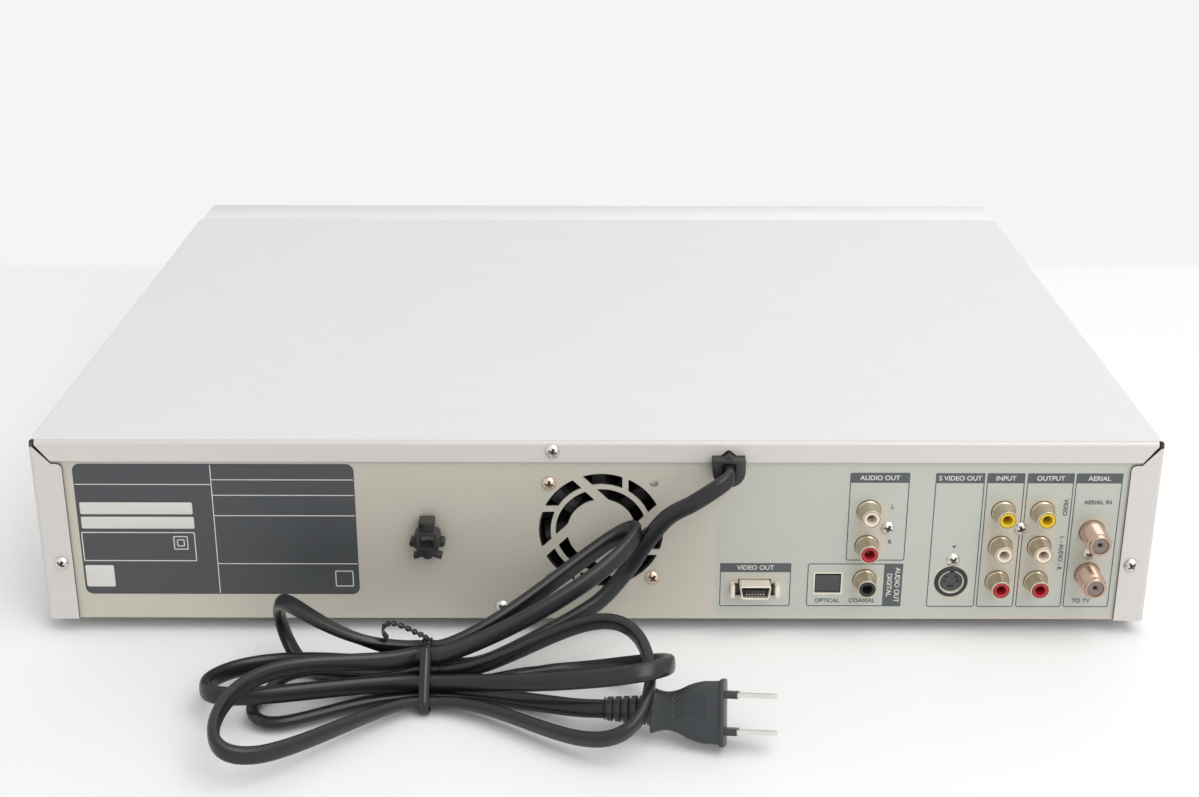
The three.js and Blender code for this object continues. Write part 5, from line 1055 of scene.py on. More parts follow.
def phono_skins(centre):
    """Shell, ring, sleeve and floor of one socket, as profiles of (radius, height)."""
    tip = PHONO_BARREL - 0.25
    shell = [(3.0, -1.2), (PHONO_BASE, -1.2), (PHONO_BASE, 0.9), (PHONO_BASE - 0.3, 1.2),
             (PHONO_BARREL + 0.1, 1.3), (PHONO_BARREL, 1.6), (tip, PHONO_REACH - 0.5),
             (tip - 0.12, PHONO_REACH - 0.15), (tip - 0.4, PHONO_REACH),
             (3.25, PHONO_REACH), (3.1, PHONO_REACH - 0.3), (3.0, PHONO_REACH - 0.6)]
    ring = [(PHONO_BORE, -1.0), (3.05, -1.0), (3.05, PHONO_REACH - 0.35),
            (2.9, PHONO_REACH - 0.1), (2.6, PHONO_REACH), (2.0, PHONO_REACH - 0.15),
            (PHONO_BORE + 0.1, PHONO_REACH - 0.6), (PHONO_BORE, PHONO_REACH - 1.0)]
    sleeve = [(0.9, 0.5), (PHONO_BORE + 0.05, 0.5), (PHONO_BORE + 0.05, 2.9), (1.35, 3.2),
              (1.15, 2.9), (1.1, 1.0)]
    floor = [(0.0, -0.8), (1.6, -0.8), (1.6, 0.6), (0.0, 0.6)]
    return [turned_ring(shell, centre), turned_ring(ring, centre),
            turned_ring(sleeve, centre, sides=24), turned(floor, centre, sides=24)]


def phono_group(name, node, places, colours):
    """All sockets of one moulded body, and the body behind the panel."""
    skins, finishes = [], []
    for (x, z), colour in zip(places, colours):
        skins += phono_skins((x, PANEL_Y, z))
        finishes += [champagne_metal, insulators[colour], champagne_metal, socket_dark]
    across = [x for x, _ in places]
    half = ((max(across) - min(across)) / 2 + PHONO_BODY, half_width(node, 2))
    centre = ((max(across) + min(across)) / 2, PANEL_Y, middle(node, 2))
    skins.append(slab(centre, half, 0.5, -12.3, -1.4, 0.3))
    finishes.append(black_plastic)
    piece(name, skins, finishes, node, [node])


AUDIO_X = middle("coaxial_jack", 0)
COAXIAL_Z = highest("coaxial_jack", 2) - PHONO_BODY
AUDIO_TOP = highest("audio_out_jacks", 2) - PHONO_BODY
AV_LEFT = lowest("av_jack_block", 0) + PHONO_BODY
AV_RIGHT = highest("av_jack_block", 0) - PHONO_BODY
AV_TOP = highest("av_jack_block", 2) - PHONO_BODY
ROW_COLOURS = ["yellow", "white", "red"]
phono_group("coaxial_socket", "coaxial_jack", [(AUDIO_X, COAXIAL_Z)], ["black"])
phono_group("audio_sockets", "audio_out_jacks",
            [(AUDIO_X, AUDIO_TOP), (AUDIO_X, AUDIO_TOP - PHONO_ROW)], ["white", "red"])
phono_group("picture_and_sound_sockets", "av_jack_block",
            [(x, AV_TOP - row * PHONO_ROW) for row in range(3) for x in (AV_RIGHT, AV_LEFT)],
            [colour for colour in ROW_COLOURS for _ in range(2)])

# %% [markdown]
# The aerial sockets are threaded barrels. A real thread climbs, but at this size rings at the
# thread's pitch look the same and close cleanly, so the profile's radius goes up and down in
# triangles along the barrel.

# %% Aerial sockets
AERIAL_X = middle("tuner_unit", 0)
AERIAL_LOW = BOTTOM_Z + 19.9
AERIAL_PITCH = 18.2
AERIAL_REACH = highest("tuner_unit", 1) - PANEL_Y
THREAD_RADIUS = 4.72
THREAD_DEPTH = 0.32
THREAD_PITCH = 0.8
THREAD_START, THREAD_MARGIN = 2.2, 1.3


def aerial_skins(centre):
    """Threaded shell, insulator and bore of one aerial socket. The thread's radius falls by
    its depth times |2 f - 1|, where f is how far the height is through a turn."""
    start, end = THREAD_START, AERIAL_REACH - THREAD_MARGIN
    height = np.arange(start, end, THREAD_PITCH / 4)
    wave = np.abs(((height - start) / THREAD_PITCH) % 1 - 0.5) * 2
    thread = np.stack([THREAD_RADIUS - THREAD_DEPTH * wave, height], -1).tolist()
    shell = [(3.2, -1.2), (4.9, -1.2), (4.9, 1.5), (4.7, 1.8), (4.4, 1.9), *thread,
             (4.35, end + 0.1), (3.85, AERIAL_REACH - 0.15), (3.7, AERIAL_REACH),
             (3.3, AERIAL_REACH), (3.2, AERIAL_REACH - 0.3)]
    insulator = [(0.85, -1.0), (3.25, -1.0), (3.25, AERIAL_REACH - 0.6), (3.0, AERIAL_REACH - 0.5),
                 (1.5, AERIAL_REACH - 0.55), (1.0, AERIAL_REACH - 0.9), (0.85, AERIAL_REACH - 1.4)]
    # The bore is a dark rod in the middle of the insulator: painted shade for the hole.
    bore = [(0.0, 1.0), (0.9, 1.0), (0.9, AERIAL_REACH - 3.0), (0.0, AERIAL_REACH - 3.0)]
    return [turned_ring(shell, centre), turned_ring(insulator, centre),
            turned(bore, centre, sides=16)]


can_place = (AERIAL_X, lowest("tuner_unit", 1), middle("tuner_unit", 2))
can_half = (half_width("tuner_unit", 0), half_width("tuner_unit", 2))
tuner_skins = [own for row in range(2)
               for own in aerial_skins((AERIAL_X, PANEL_Y, AERIAL_LOW + row * AERIAL_PITCH))]
tuner_skins.append(slab(can_place, can_half, 0.8, 0, PANEL_Y - 1.3 - can_place[1], 0.5))
piece("tuner_and_aerial_sockets", tuner_skins,
      [nickel, aerial_insulator, socket_dark] * 2 + [zinc_steel], "tuner_unit",
      ["tuner_unit"])
print("phono and aerial sockets stand", PHONO_REACH, "and", round(AERIAL_REACH, 1), "mm proud")

# %% [markdown]
# The round socket for separate brightness and colour signals has four contact holes and a key
# slot in a black insert. The insert sits a little back from a steel shell, and a moulded collar
# covers the edge of the hole in the panel.

# %% Socket with four contacts
SVIDEO_CENTRE = (-138.4, PANEL_Y, 22.5)
SVIDEO_PROUD = 0.8
SVIDEO_CONTACTS = [(-1.95, 1.7), (1.95, 1.7), (-2.6, -0.1), (2.6, -0.1)]


def svideo_skins():
    """Collar, shell and insert as turned profiles, the contact holes as dark discs and the key
    slots as two dark slabs, both painted shade for the holes, and the body behind the panel."""
    collar = [(5.0, -1.2), (6.4, -1.2), (6.4, 0.4), (6.1, 0.75), (5.7, SVIDEO_PROUD), (5.0, 0.7)]
    shell = [(4.5, -1.1), (4.98, -1.1), (4.98, 0.35), (4.8, 0.5), (4.6, 0.5), (4.5, 0.35)]
    insert = [(0.0, -1.15), (4.48, -1.15), (4.48, -0.9), (4.35, -0.8), (0.0, -0.8)]
    x, y, z = SVIDEO_CENTRE
    skins = [turned_ring(collar, SVIDEO_CENTRE), turned_ring(shell, SVIDEO_CENTRE),
             turned(insert, SVIDEO_CENTRE)]
    hole = [(0.0, -0.9), (0.62, -0.9), (0.62, -0.74), (0.0, -0.74)]
    for across, up in SVIDEO_CONTACTS:
        skins.append(turned(hole, (x + across, y, z + up), sides=20))
    skins.append(slab((x, y, z - 2.3), (1.25, 0.5), 0.2, -0.9, -0.72, 0.03))
    skins.append(slab((x, y, z + 4.7), (1.0, 0.55), 0.2, -0.9, 0.56, 0.03))
    skins.append(slab((x, y, middle("svideo_jack", 2)), (6.7, 7.5), 0.6, -13.2, -1.4, 0.3))
    return skins


# The fan's black on the contact holes and key slots is painted shade.
piece("four_contact_socket", svideo_skins(),
      [black_plastic, tin_plate, grey_plastic] + [fan_black] * (len(SVIDEO_CONTACTS) + 2)
      + [black_plastic],
      "svideo_jack", ["svideo_jack"])

# %% [markdown]
# The component picture socket has a shell that is wider above than below, so that its plug goes
# in one way only. A black insert with a tongue fills it, and a steel latch stands at each side.

# %% Component picture socket
D_CENTRE = (-61.7, PANEL_Y, 20.3)
D_WIDTHS = (12.4, 10.6)
D_HEIGHT = 5.7
D_WALL = 0.6
D_PROUD = 6.0
D_LATCH = (8.7, 19.7, 0.9, 4.2)
D_CONTACTS = 7
D_CONTACT_PITCH = 1.1


def tapered_box(top, bottom, height, corner):
    """A round-cornered rectangle whose half width goes in a straight line from the bottom's to
    the top's."""
    outline = round_box((top / 2, height / 2), corner)
    share = 0.5 + outline[:, 1] / height
    outline[:, 0] *= (bottom + (top - bottom) * share) / top
    return outline


def d_terminal_skins():
    """Shell with a rounded lip, insert, tongue, contacts, latches and the body behind. A latch
    is given by its offset, its height, its half width and how far it stands out."""
    outer = tapered_box(*D_WIDTHS, D_HEIGHT, 1.0)
    inner = tapered_box(D_WIDTHS[0] - 2 * D_WALL, D_WIDTHS[1] - 2 * D_WALL,
                        D_HEIGHT - 2 * D_WALL, 0.6)
    lip = (outer + inner) / 2
    shell = layers([outer, outer, (outer + lip) / 2, (inner + lip) / 2, inner, inner],
                   [-1.2, D_PROUD - 0.2, D_PROUD, D_PROUD, D_PROUD - 0.2, -1.2], D_CENTRE,
                   wrap_rows=True)
    x, y, z = D_CENTRE
    insert = layers([inner, inner], [-1.2, D_PROUD - 2.2], D_CENTRE)
    tongue = slab((x, y, z + 0.2), (3.9, 0.75), 0.25, D_PROUD - 2.3, D_PROUD - 0.5, 0.15)
    contacts = [slab((x + (k - (D_CONTACTS - 1) / 2) * D_CONTACT_PITCH, y, z - 1.15),
                     (0.2, 0.3), 0.08, D_PROUD - 2.3, D_PROUD - 1.2, 0.05)
                for k in range(D_CONTACTS)]
    offset, rise, half, proud = D_LATCH
    latches = [slab((x + side * offset, y, rise), (half, 2.7), half - 0.05, -0.9, proud, 0.5)
               for side in (-1, 1)]
    body = slab((x, y, middle("d_terminal", 2)), (11.9, 5.8), 0.6, -11.9, -1.1, 0.3)
    return [shell, insert, tongue, *contacts, *latches, body]


piece("component_socket", d_terminal_skins(),
      [tin_plate, socket_dark, black_plastic] + [bright_steel] * D_CONTACTS
      + [tin_plate] * 2 + [black_plastic], "d_terminal", ["d_terminal"])

# %% [markdown]
# The optical socket is a square opening with a sprung shutter, in a thin pale frame. The shutter
# swings inwards when a plug comes, so the body behind it is a tunnel and not a block.

# %% Optical socket
OPTICAL_CENTRE = (-90.3, PANEL_Y, 21.8)
OPTICAL_OPENING = (5.1, 4.2)
OPTICAL_BODY = (7.4, 6.8)


def optical_skins():
    """A pale frame, a tunnel, and the body as a back wall with a roof and a floor."""
    half = np.array(OPTICAL_OPENING)
    x, y, z = OPTICAL_CENTRE
    frame_skin = hoop(OPTICAL_CENTRE, half + 0.6, 0.5, 0.6, -0.9, 0.3)
    body_centre = (x, y, middle("optical_jack", 2))
    tunnel = hoop(OPTICAL_CENTRE, half + 0.55, 0.4, 0.55, -9.0, -0.85)
    back = slab(body_centre, OPTICAL_BODY, 0.5, -15.9, -9.0, 0.1)
    sides = [slab((x, y, z + 5.4), (6.6, 0.6), 0.3, -9.1, -1.2, 0.1),
             slab((x, y, z - 6.1), (6.6, 1.3), 0.3, -9.1, -1.2, 0.1)]
    return [frame_skin, tunnel, back, *sides]


piece("optical_socket", optical_skins(), [tin_plate] + [grey_plastic] * 4, "optical_jack",
      ["optical_jack"])
shutter_x, shutter_y = OPTICAL_CENTRE[0], highest("optical_shutter", 1)
piece("shutter_step", [slab((shutter_x, shutter_y, 20.6), (3.4, 0.35), 0.2, -0.1, 0.25, 0.1),
                       slab((shutter_x, shutter_y, 23.2), (3.4, 0.25), 0.15, -0.1, 0.2, 0.1)],
      grey_plastic, "optical_shutter")

# %% [markdown]
# A screw head is a low dome with a cross recess. Bumps in a material would leave its outline
# smooth, so the recess is real depth: the dome's height falls by a smooth function of how far a
# point is from the two arms of the cross. One shank below it fills the hole.

# %% Screws
HEAD_RADIUS = 2.75
HEAD_HEIGHT = 1.7
RIM_HEIGHT = 0.25
DOME_POWER = 2.6
RECESS_HALF = 0.46
RECESS_REACH = 1.65
RECESS_DEPTH = 1.4
RECESS_WALL = 0.16


def screw_skins(centre, turn, shank=0.0):
    """Height H (1 - (r / R) ** 2.6) over the rim, less the deeper of two arms, each of which has
    a width and fades along its length. Rings run from the rim to the middle."""
    radius = np.append(HEAD_RADIUS, np.linspace(HEAD_RADIUS - AXIS_GAP, AXIS_GAP, 34))
    angle = np.linspace(0, 2 * math.pi, 96, endpoint=False)
    x, z = radius[:, None] * np.cos(angle), radius[:, None] * np.sin(angle)
    along = math.cos(turn) * x + math.sin(turn) * z
    aside = math.cos(turn) * z - math.sin(turn) * x

    def arm(near, far):
        """1 within the arm's width and length, and less towards its walls and its end."""
        width = np.clip((RECESS_HALF - np.abs(near)) / RECESS_WALL + 0.5, 0, 1)
        return width * np.clip(1.15 - (np.abs(far) / RECESS_REACH) ** 3, 0, 1)

    dome = 1 - np.clip(radius[:, None] / HEAD_RADIUS, 0, 1) ** DOME_POWER
    height = RIM_HEIGHT + (HEAD_HEIGHT - RIM_HEIGHT) * dome
    height = height - RECESS_DEPTH * np.maximum(arm(along, aside), arm(aside, along))
    height[0] = -0.02
    head = skin(set_on(np.stack([x, z, height], -1), centre))
    if not shank:
        return [head]
    return [head, turned([(1.4, -shank), (1.5, -shank + 0.5), (1.5, 0.0)], centre, sides=24)]


def cross_skins(centre, turn):
    """Two bars on the floor of the recess, along its arms, in a dark tone that is painted shade."""
    bars = []
    for angle in (turn, turn + math.pi / 2):
        cosine, sine = math.cos(angle), math.sin(angle)
        outline = round_box((1.3, RECESS_HALF - 0.06), 0.2)
        outline = outline @ np.array([[cosine, sine], [-sine, cosine]])
        bars.append(layers([outline] * 2, [0.1, 0.66], centre))
    return bars


def screw(name, node, material, turn):
    """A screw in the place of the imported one, from the node's own box."""
    centre = (middle(node, 0), highest(node, 1) - HEAD_HEIGHT - 0.05, middle(node, 2))
    shank = centre[1] - lowest(node, 1)
    piece(name, screw_skins(centre, turn, shank) + cross_skins(centre, turn),
          [material] * 2 + [painted_recess_shade] * 2, node, [node], sharp=50)


for side, turn in (("rear", 0.3), ("left", 0.9), ("right", 0.55)):
    screw("cover_screw_head_" + side, "cover_screw_" + side, bright_steel, turn)
for place, turn in (("upper", 0.15), ("lower", 0.62)):
    screw("fan_screw_head_" + place, "fan_screw_" + place, brass_yellow, turn)
JACK_SCREWS = [(-112.3, 45.6), (-163.6, 45.4), (-138.5, 32.0), (-191.3, 35.0), (36.9, 11.1)]
jack_screw_skins = []
for k, (x, z) in enumerate(JACK_SCREWS):
    place, turn = (x, PANEL_Y, z), 0.35 + 0.9 * k
    jack_screw_skins += screw_skins(place, turn) + cross_skins(place, turn)
piece("socket_screws", jack_screw_skins, ([bright_steel] + [painted_recess_shade] * 2) * len(JACK_SCREWS),
      "rear_panel", sharp=50)
print("screw heads:", 5 + len(JACK_SCREWS))

# %% [markdown]
# Print has almost no thickness, yet a line of ink has a crisp edge that a mask at the size of a
# label would blur in the exported model. Each printed shape is therefore a thin slab a few
# hundredths of a millimetre proud of the sheet. The dark plate carries plain rules and boxes,
# and each group of sockets has a frame, a heading and plain words for the kind of signal.

# %% Printed shapes
INK_STEP = 0.03
INK_HALF = 0.01
LETTER_WEIGHT = 0.045


def ink_box(left, right, low, high, level=1, corner=0.4):
    """A filled printed box between two x and two z places."""
    centre = ((left + right) / 2, PANEL_Y, (low + high) / 2)
    half = (abs(right - left) / 2, abs(high - low) / 2)
    return slab(centre, half, min(corner, *half), -0.02, level * INK_STEP, 0.01)


def ink_frame(left, right, low, high, level=1, line=0.4, corner=1.0):
    """A printed outline between two x and two z places."""
    centre = ((left + right) / 2, PANEL_Y, (low + high) / 2)
    half = (abs(right - left) / 2, abs(high - low) / 2)
    return hoop(centre, half, corner, line, -0.02, level * INK_STEP)


def curve_skin(curve):
    """Points and faces of a filled curve or a text, which is removed afterwards."""
    holder = bpy.data.objects.new(curve.name, curve)
    mesh = bpy.data.meshes.new_from_object(holder)
    points = np.empty(len(mesh.vertices) * 3)
    mesh.vertices.foreach_get("co", points)
    faces = [list(face.vertices) for face in mesh.polygons]
    bpy.data.objects.remove(holder)
    bpy.data.curves.remove(curve)
    bpy.data.meshes.remove(mesh)
    return points.reshape(-1, 3), faces


def lettering(name, words, size, material, node="rear_panel", face=PANEL_Y, axes=BEHIND):
    """Each word as (text, middle x, middle z, turn), so that it reads from outside the face."""
    collected = []
    outward = axes[2, 1]
    for text, x, z, turn in words:
        curve = bpy.data.curves.new(name, "FONT")
        curve.body, curve.size = text, size
        curve.extrude, curve.offset = INK_HALF, LETTER_WEIGHT
        curve.align_x, curve.align_y = "CENTER", "CENTER"
        points, faces = curve_skin(curve)
        points = points @ np.array(Matrix.Rotation(-turn, 3, "Z")) * (-outward, 1, 1)
        placed = set_on(points, (x, face + outward * 3 * INK_STEP, z), axes)
        collected.append((placed, faces))
    piece(name, collected, material, node)


print("ink stands", INK_STEP, "mm proud of the sheet, and words", 3 * INK_STEP, "mm")

# %% The dark plate and the boxes on it
# A box is given by two x and two z places, and a rule by two x places and its lower z.
PLATE = (92.5, 199.7, 16.5, 72.1)
PLATE_FOLD = 147.0
piece("rating_plate", [ink_box(*PLATE, corner=3.0)], plate_ink, "rear_panel")
RULE = 0.35
RULES = [(92.9, PLATE_FOLD, z) for z in (65.3, 58.8, 50.2, 29.6)]
RULES += [(PLATE_FOLD, 199.3, 63.3)]
PALE_BOXES = [(155.2, 198.4, 50.9, 55.9), (155.0, 198.4, 44.8, 49.8), (187.8, 198.9, 19.7, 29.0)]
OUTLINED_BOXES = [(155.1, 199.0, 30.8, 43.3), (94.7, 101.8, 19.9, 26.8),
                  (158.0, 163.6, 35.8, 41.6), (159.3, 162.3, 37.2, 40.2)]
plate_marks = [ink_box(left, right, z, z + RULE, 2) for left, right, z in RULES]
plate_marks += [ink_box(PLATE_FOLD, PLATE_FOLD + RULE, 16.9, 71.7, 2)]
plate_marks += [ink_box(*box, level=2, corner=0.6) for box in PALE_BOXES]
plate_marks += [ink_frame(*box, level=2, corner=0.5) for box in OUTLINED_BOXES]
piece("plate_rules", plate_marks, pale_ink, "rear_panel")

# %% Frames and headings round the sockets
SOCKET_FRAMES = [
    (-129.3, -148.1, 11.4, 68.8), (-148.9, -163.4, 11.4, 68.8), (-164.3, -182.2, 11.4, 68.8),
    (-182.9, -200.7, 11.4, 68.8), (-96.7, -119.5, 31.6, 68.9), (-82.2, -119.3, 11.6, 30.3),
    (-48.1, -75.8, 11.5, 30.4),
]
HEADINGS = [
    (-129.3, -148.1, 64.6, 68.8), (-148.9, -163.4, 64.6, 68.8), (-164.3, -182.2, 64.6, 68.8),
    (-182.9, -200.7, 64.6, 68.8), (-96.7, -119.5, 64.7, 68.9), (-112.0, -119.3, 11.6, 30.3),
    (-48.1, -75.8, 26.5, 30.4),
]
QUARTER = math.pi / 2
piece("socket_frames", [ink_frame(*frame_box) for frame_box in SOCKET_FRAMES], dark_ink,
      "rear_panel")
piece("socket_headings", [ink_box(*heading, level=1.5) for heading in HEADINGS], dark_ink,
      "rear_panel")
lettering("heading_words", [
    ("INPUT", -156.1, 66.6, 0), ("OUTPUT", -173.2, 66.6, 0), ("AERIAL", -191.8, 66.6, 0),
    ("AUDIO OUT", -108.1, 66.7, 0), ("S VIDEO OUT", -138.7, 66.6, 0),
    ("VIDEO OUT", -61.9, 28.4, 0),
    ("DIGITAL", -114.2, 21.0, -QUARTER), ("AUDIO OUT", -117.3, 21.0, -QUARTER)], 2.7, pale_ink)
lettering("signal_words", [
    ("L", -113.6, 54.6, 0), ("R", -113.4, 39.6, 0), ("OPTICAL", -90.3, 14.1, 0),
    ("COAXIAL", -104.0, 14.1, 0), ("AERIAL IN", -192.2, 56.6, 0), ("TO TV", -189.8, 14.2, 0),
    ("VIDEO", -179.9, 54.5, -QUARTER), ("L - AUDIO - R", -179.9, 35.0, -QUARTER)], 2.4, dark_ink)
small_arrow = np.array([[-0.9, 0.7], [0.9, 0.7], [0, -0.7]])
piece("socket_arrow", [layers([small_arrow] * 2, [-0.02, INK_STEP], (-138.5, PANEL_Y, 37.4))],
      dark_ink, "rear_panel")
print("rules and boxes on the plate:", len(plate_marks), "socket frames:", len(SOCKET_FRAMES))

# %% [markdown]
# The rear panel is one flat sheet with many holes. A filled curve suits it: every outline is a
# spline, those inside another become holes, and a small bevel gives the punched edges a radius.
# The fan's grille has two rings of slots between struts. Each strut passes the fan's middle at
# a distance, so a slot's end lies at the angle asin(distance / radius) and the ends slant.

# %% Outlines of the holes
FAN_X = middle("fan_frame", 0)
FAN_Z = middle("fan_frame", 2)
RING_OUTER = (19.5, 24.0)
RING_INNER = (13.1, 17.6)
WIDE_STRUT, NARROW_STRUT, STRUT_OFFSET = 3.7, 2.3, 9.2
CORNER_CUT = 14.0
FAN_HOLES = [(FAN_X + across, FAN_Z + up) for across in (-20, 20) for up in (-20, 20)]


def circle(x, z, radius, steps=40):
    """Points on a circle, x + r cos(angle) and z + r sin(angle)."""
    angle = np.linspace(0, 2 * math.pi, steps, endpoint=False)
    return np.stack([x + radius * np.cos(angle), z + radius * np.sin(angle)], -1)


def slot_outline(ring, first, first_width, last, last_width, steps=14):
    """Out along the first strut's edge, round the outer arc, in along the last strut's edge and
    back round the inner arc. The strut at angle a has its edge at a + asin(distance / radius)."""
    inner, outer = ring
    radius = np.linspace(inner, outer, 5)
    start = first + np.arcsin((STRUT_OFFSET + first_width / 2) / radius)
    end = last + np.arcsin((STRUT_OFFSET - last_width / 2) / radius)
    over = np.linspace(start[-1], end[-1], steps)[1:-1]
    back = np.linspace(end[0], start[0], steps)[1:-1]
    angle = np.concatenate([start, over, end[::-1], back])
    reach = np.concatenate([radius, 0 * over + outer, radius[::-1], 0 * back + inner])
    outline = np.stack([FAN_X + reach * np.cos(angle), FAN_Z + reach * np.sin(angle)], -1)
    return cut_corners(outline, 1)


def grille_outlines():
    """Twelve slots: in each quarter two in the outer ring, with a narrow strut between them, and
    one in the inner ring."""
    slots = []
    for k in range(4):
        wide, narrow, following = k * QUARTER - QUARTER / 2, k * QUARTER, (k + 0.5) * QUARTER
        slots += [slot_outline(RING_OUTER, wide, WIDE_STRUT, narrow, NARROW_STRUT),
                  slot_outline(RING_OUTER, narrow, NARROW_STRUT, following, WIDE_STRUT),
                  slot_outline(RING_INNER, wide, WIDE_STRUT, following, WIDE_STRUT)]
    return slots


def panel_outlines():
    """The sheet's edge, with both upper corners cut off, and then every hole in it."""
    left, right = lowest("rear_panel", 0), highest("rear_panel", 0)
    low, high = BOTTOM_Z, highest("rear_panel", 2)
    edge = np.array([[left, low], [right, low], [right, high - CORNER_CUT],
                     [right - CORNER_CUT, high], [left + CORNER_CUT, high],
                     [left, high - CORNER_CUT]])
    av_rows = [AV_TOP - row * PHONO_ROW for row in range(3)]
    phonos = [(x, z) for x in (AV_LEFT, AV_RIGHT) for z in av_rows]
    phonos += [(AUDIO_X, COAXIAL_Z), (AUDIO_X, AUDIO_TOP), (AUDIO_X, AUDIO_TOP - PHONO_ROW)]
    holes = [circle(x, z, PHONO_BASE + 0.15) for x, z in phonos]
    holes += [circle(AERIAL_X, AERIAL_LOW + row * AERIAL_PITCH, 5.05) for row in range(2)]
    holes += [circle(SVIDEO_CENTRE[0], SVIDEO_CENTRE[2], 6.5)]
    holes += [circle(x, z, 1.7, 24) for x, z in FAN_HOLES]
    holes += [circle(middle("cover_screw_rear", 0), middle("cover_screw_rear", 2), 1.7, 24)]
    holes += [circle(middle("wire_clip", 0), 37.5, 2.5, 32)]
    x, _, z = OPTICAL_CENTRE
    holes.append(round_box(np.array(OPTICAL_OPENING) + 0.62, 0.4) + (x, z))
    x, _, z = D_CENTRE
    holes.append(np.array([[x - 9.3, 16.2], [x + 9.3, 16.2], [x + 9.3, 21.6], [x + 6.4, 21.6],
                           [x + 6.4, 23.5], [x - 6.4, 23.5], [x - 6.4, 21.6], [x - 9.3, 21.6]]))
    bushing = round_box((5.2, 7.0), 5.1, 8) + (middle("cord_bushing", 0), 73.5)
    return [edge, *holes, bushing, *grille_outlines()]


print("slots in the grille:", len(grille_outlines()))


# %% The punched sheet
SHEET_EDGE = 0.08


def punched_sheet(name, outlines, back, front, edge, material, node):
    """A flat curve with one closed spline for each outline, filled and made a mesh."""
    curve = bpy.data.curves.new(name, "CURVE")
    curve.dimensions, curve.fill_mode = "2D", "BOTH"
    curve.extrude, curve.bevel_depth = (front - back) / 2 - edge, edge
    curve.offset, curve.bevel_resolution = -edge, 1
    for outline in outlines:
        spline = curve.splines.new("POLY")
        spline.points.add(len(outline) - 1)
        flat = np.column_stack([outline, np.zeros(len(outline)), np.ones(len(outline))])
        spline.points.foreach_set("co", flat.ravel())
        spline.use_cyclic_u = True
    points, faces = curve_skin(curve)
    placed = set_on(points, (0, (front + back) / 2, 0))
    piece(name, [(placed, faces)], material, node, [node])


punched_sheet("rear_sheet", panel_outlines(), lowest("rear_panel", 1), PANEL_Y, SHEET_EDGE,
              panel_sheet, "rear_panel")
empty_holes = [turned([(0, -1.15), (1.6, -1.15), (1.6, -0.75), (0.9, -0.6), (0, -0.6)],
                      (x, PANEL_Y, z), sides=24) for x, z in (FAN_HOLES[1], FAN_HOLES[2])]
piece("unused_fan_holes", empty_holes, zinc_steel, "rear_panel")
print("holes in the rear sheet:", len(panel_outlines()) - 1)

# %% [markdown]
# The top cover is a folded sheet. Its outer face is drawn once, without thickness: the top and
# the sides with a bend between them, then a lip bent down from the top and a flange bent in from
# each side, over the edge of the rear panel. Lip and flanges meet along a slanting seam, with an
# open notch at each corner where the bends meet. Solidify then gives the sheet its thickness.

# %% Folded top cover
COVER_HALF = highest("top_cover", 0)
COVER_TOP = highest("top_cover", 2)
COVER_REAR = highest("top_cover", 1)
COVER_FRONT = lowest("top_cover", 1)
BEND = 1.6
LIP_EDGE = COVER_TOP - 8.5
FLANGE_EDGE = COVER_HALF - 11.8
SEAM_END = (207.3, LIP_EDGE + 0.3)
SEAM_GAP = 1.15
NOTCH = 0.8
HOLD = 0.25
COVER_THICK = 0.9
NOTCH_X = [-56.36, -56.34, -52.9, -50.5, -49.5, -47.1, -43.66, -43.64]
NOTCH_Z = [LIP_EDGE, 76.4, 76.4, 78.5, 78.5, 76.4, 76.4, LIP_EDGE]


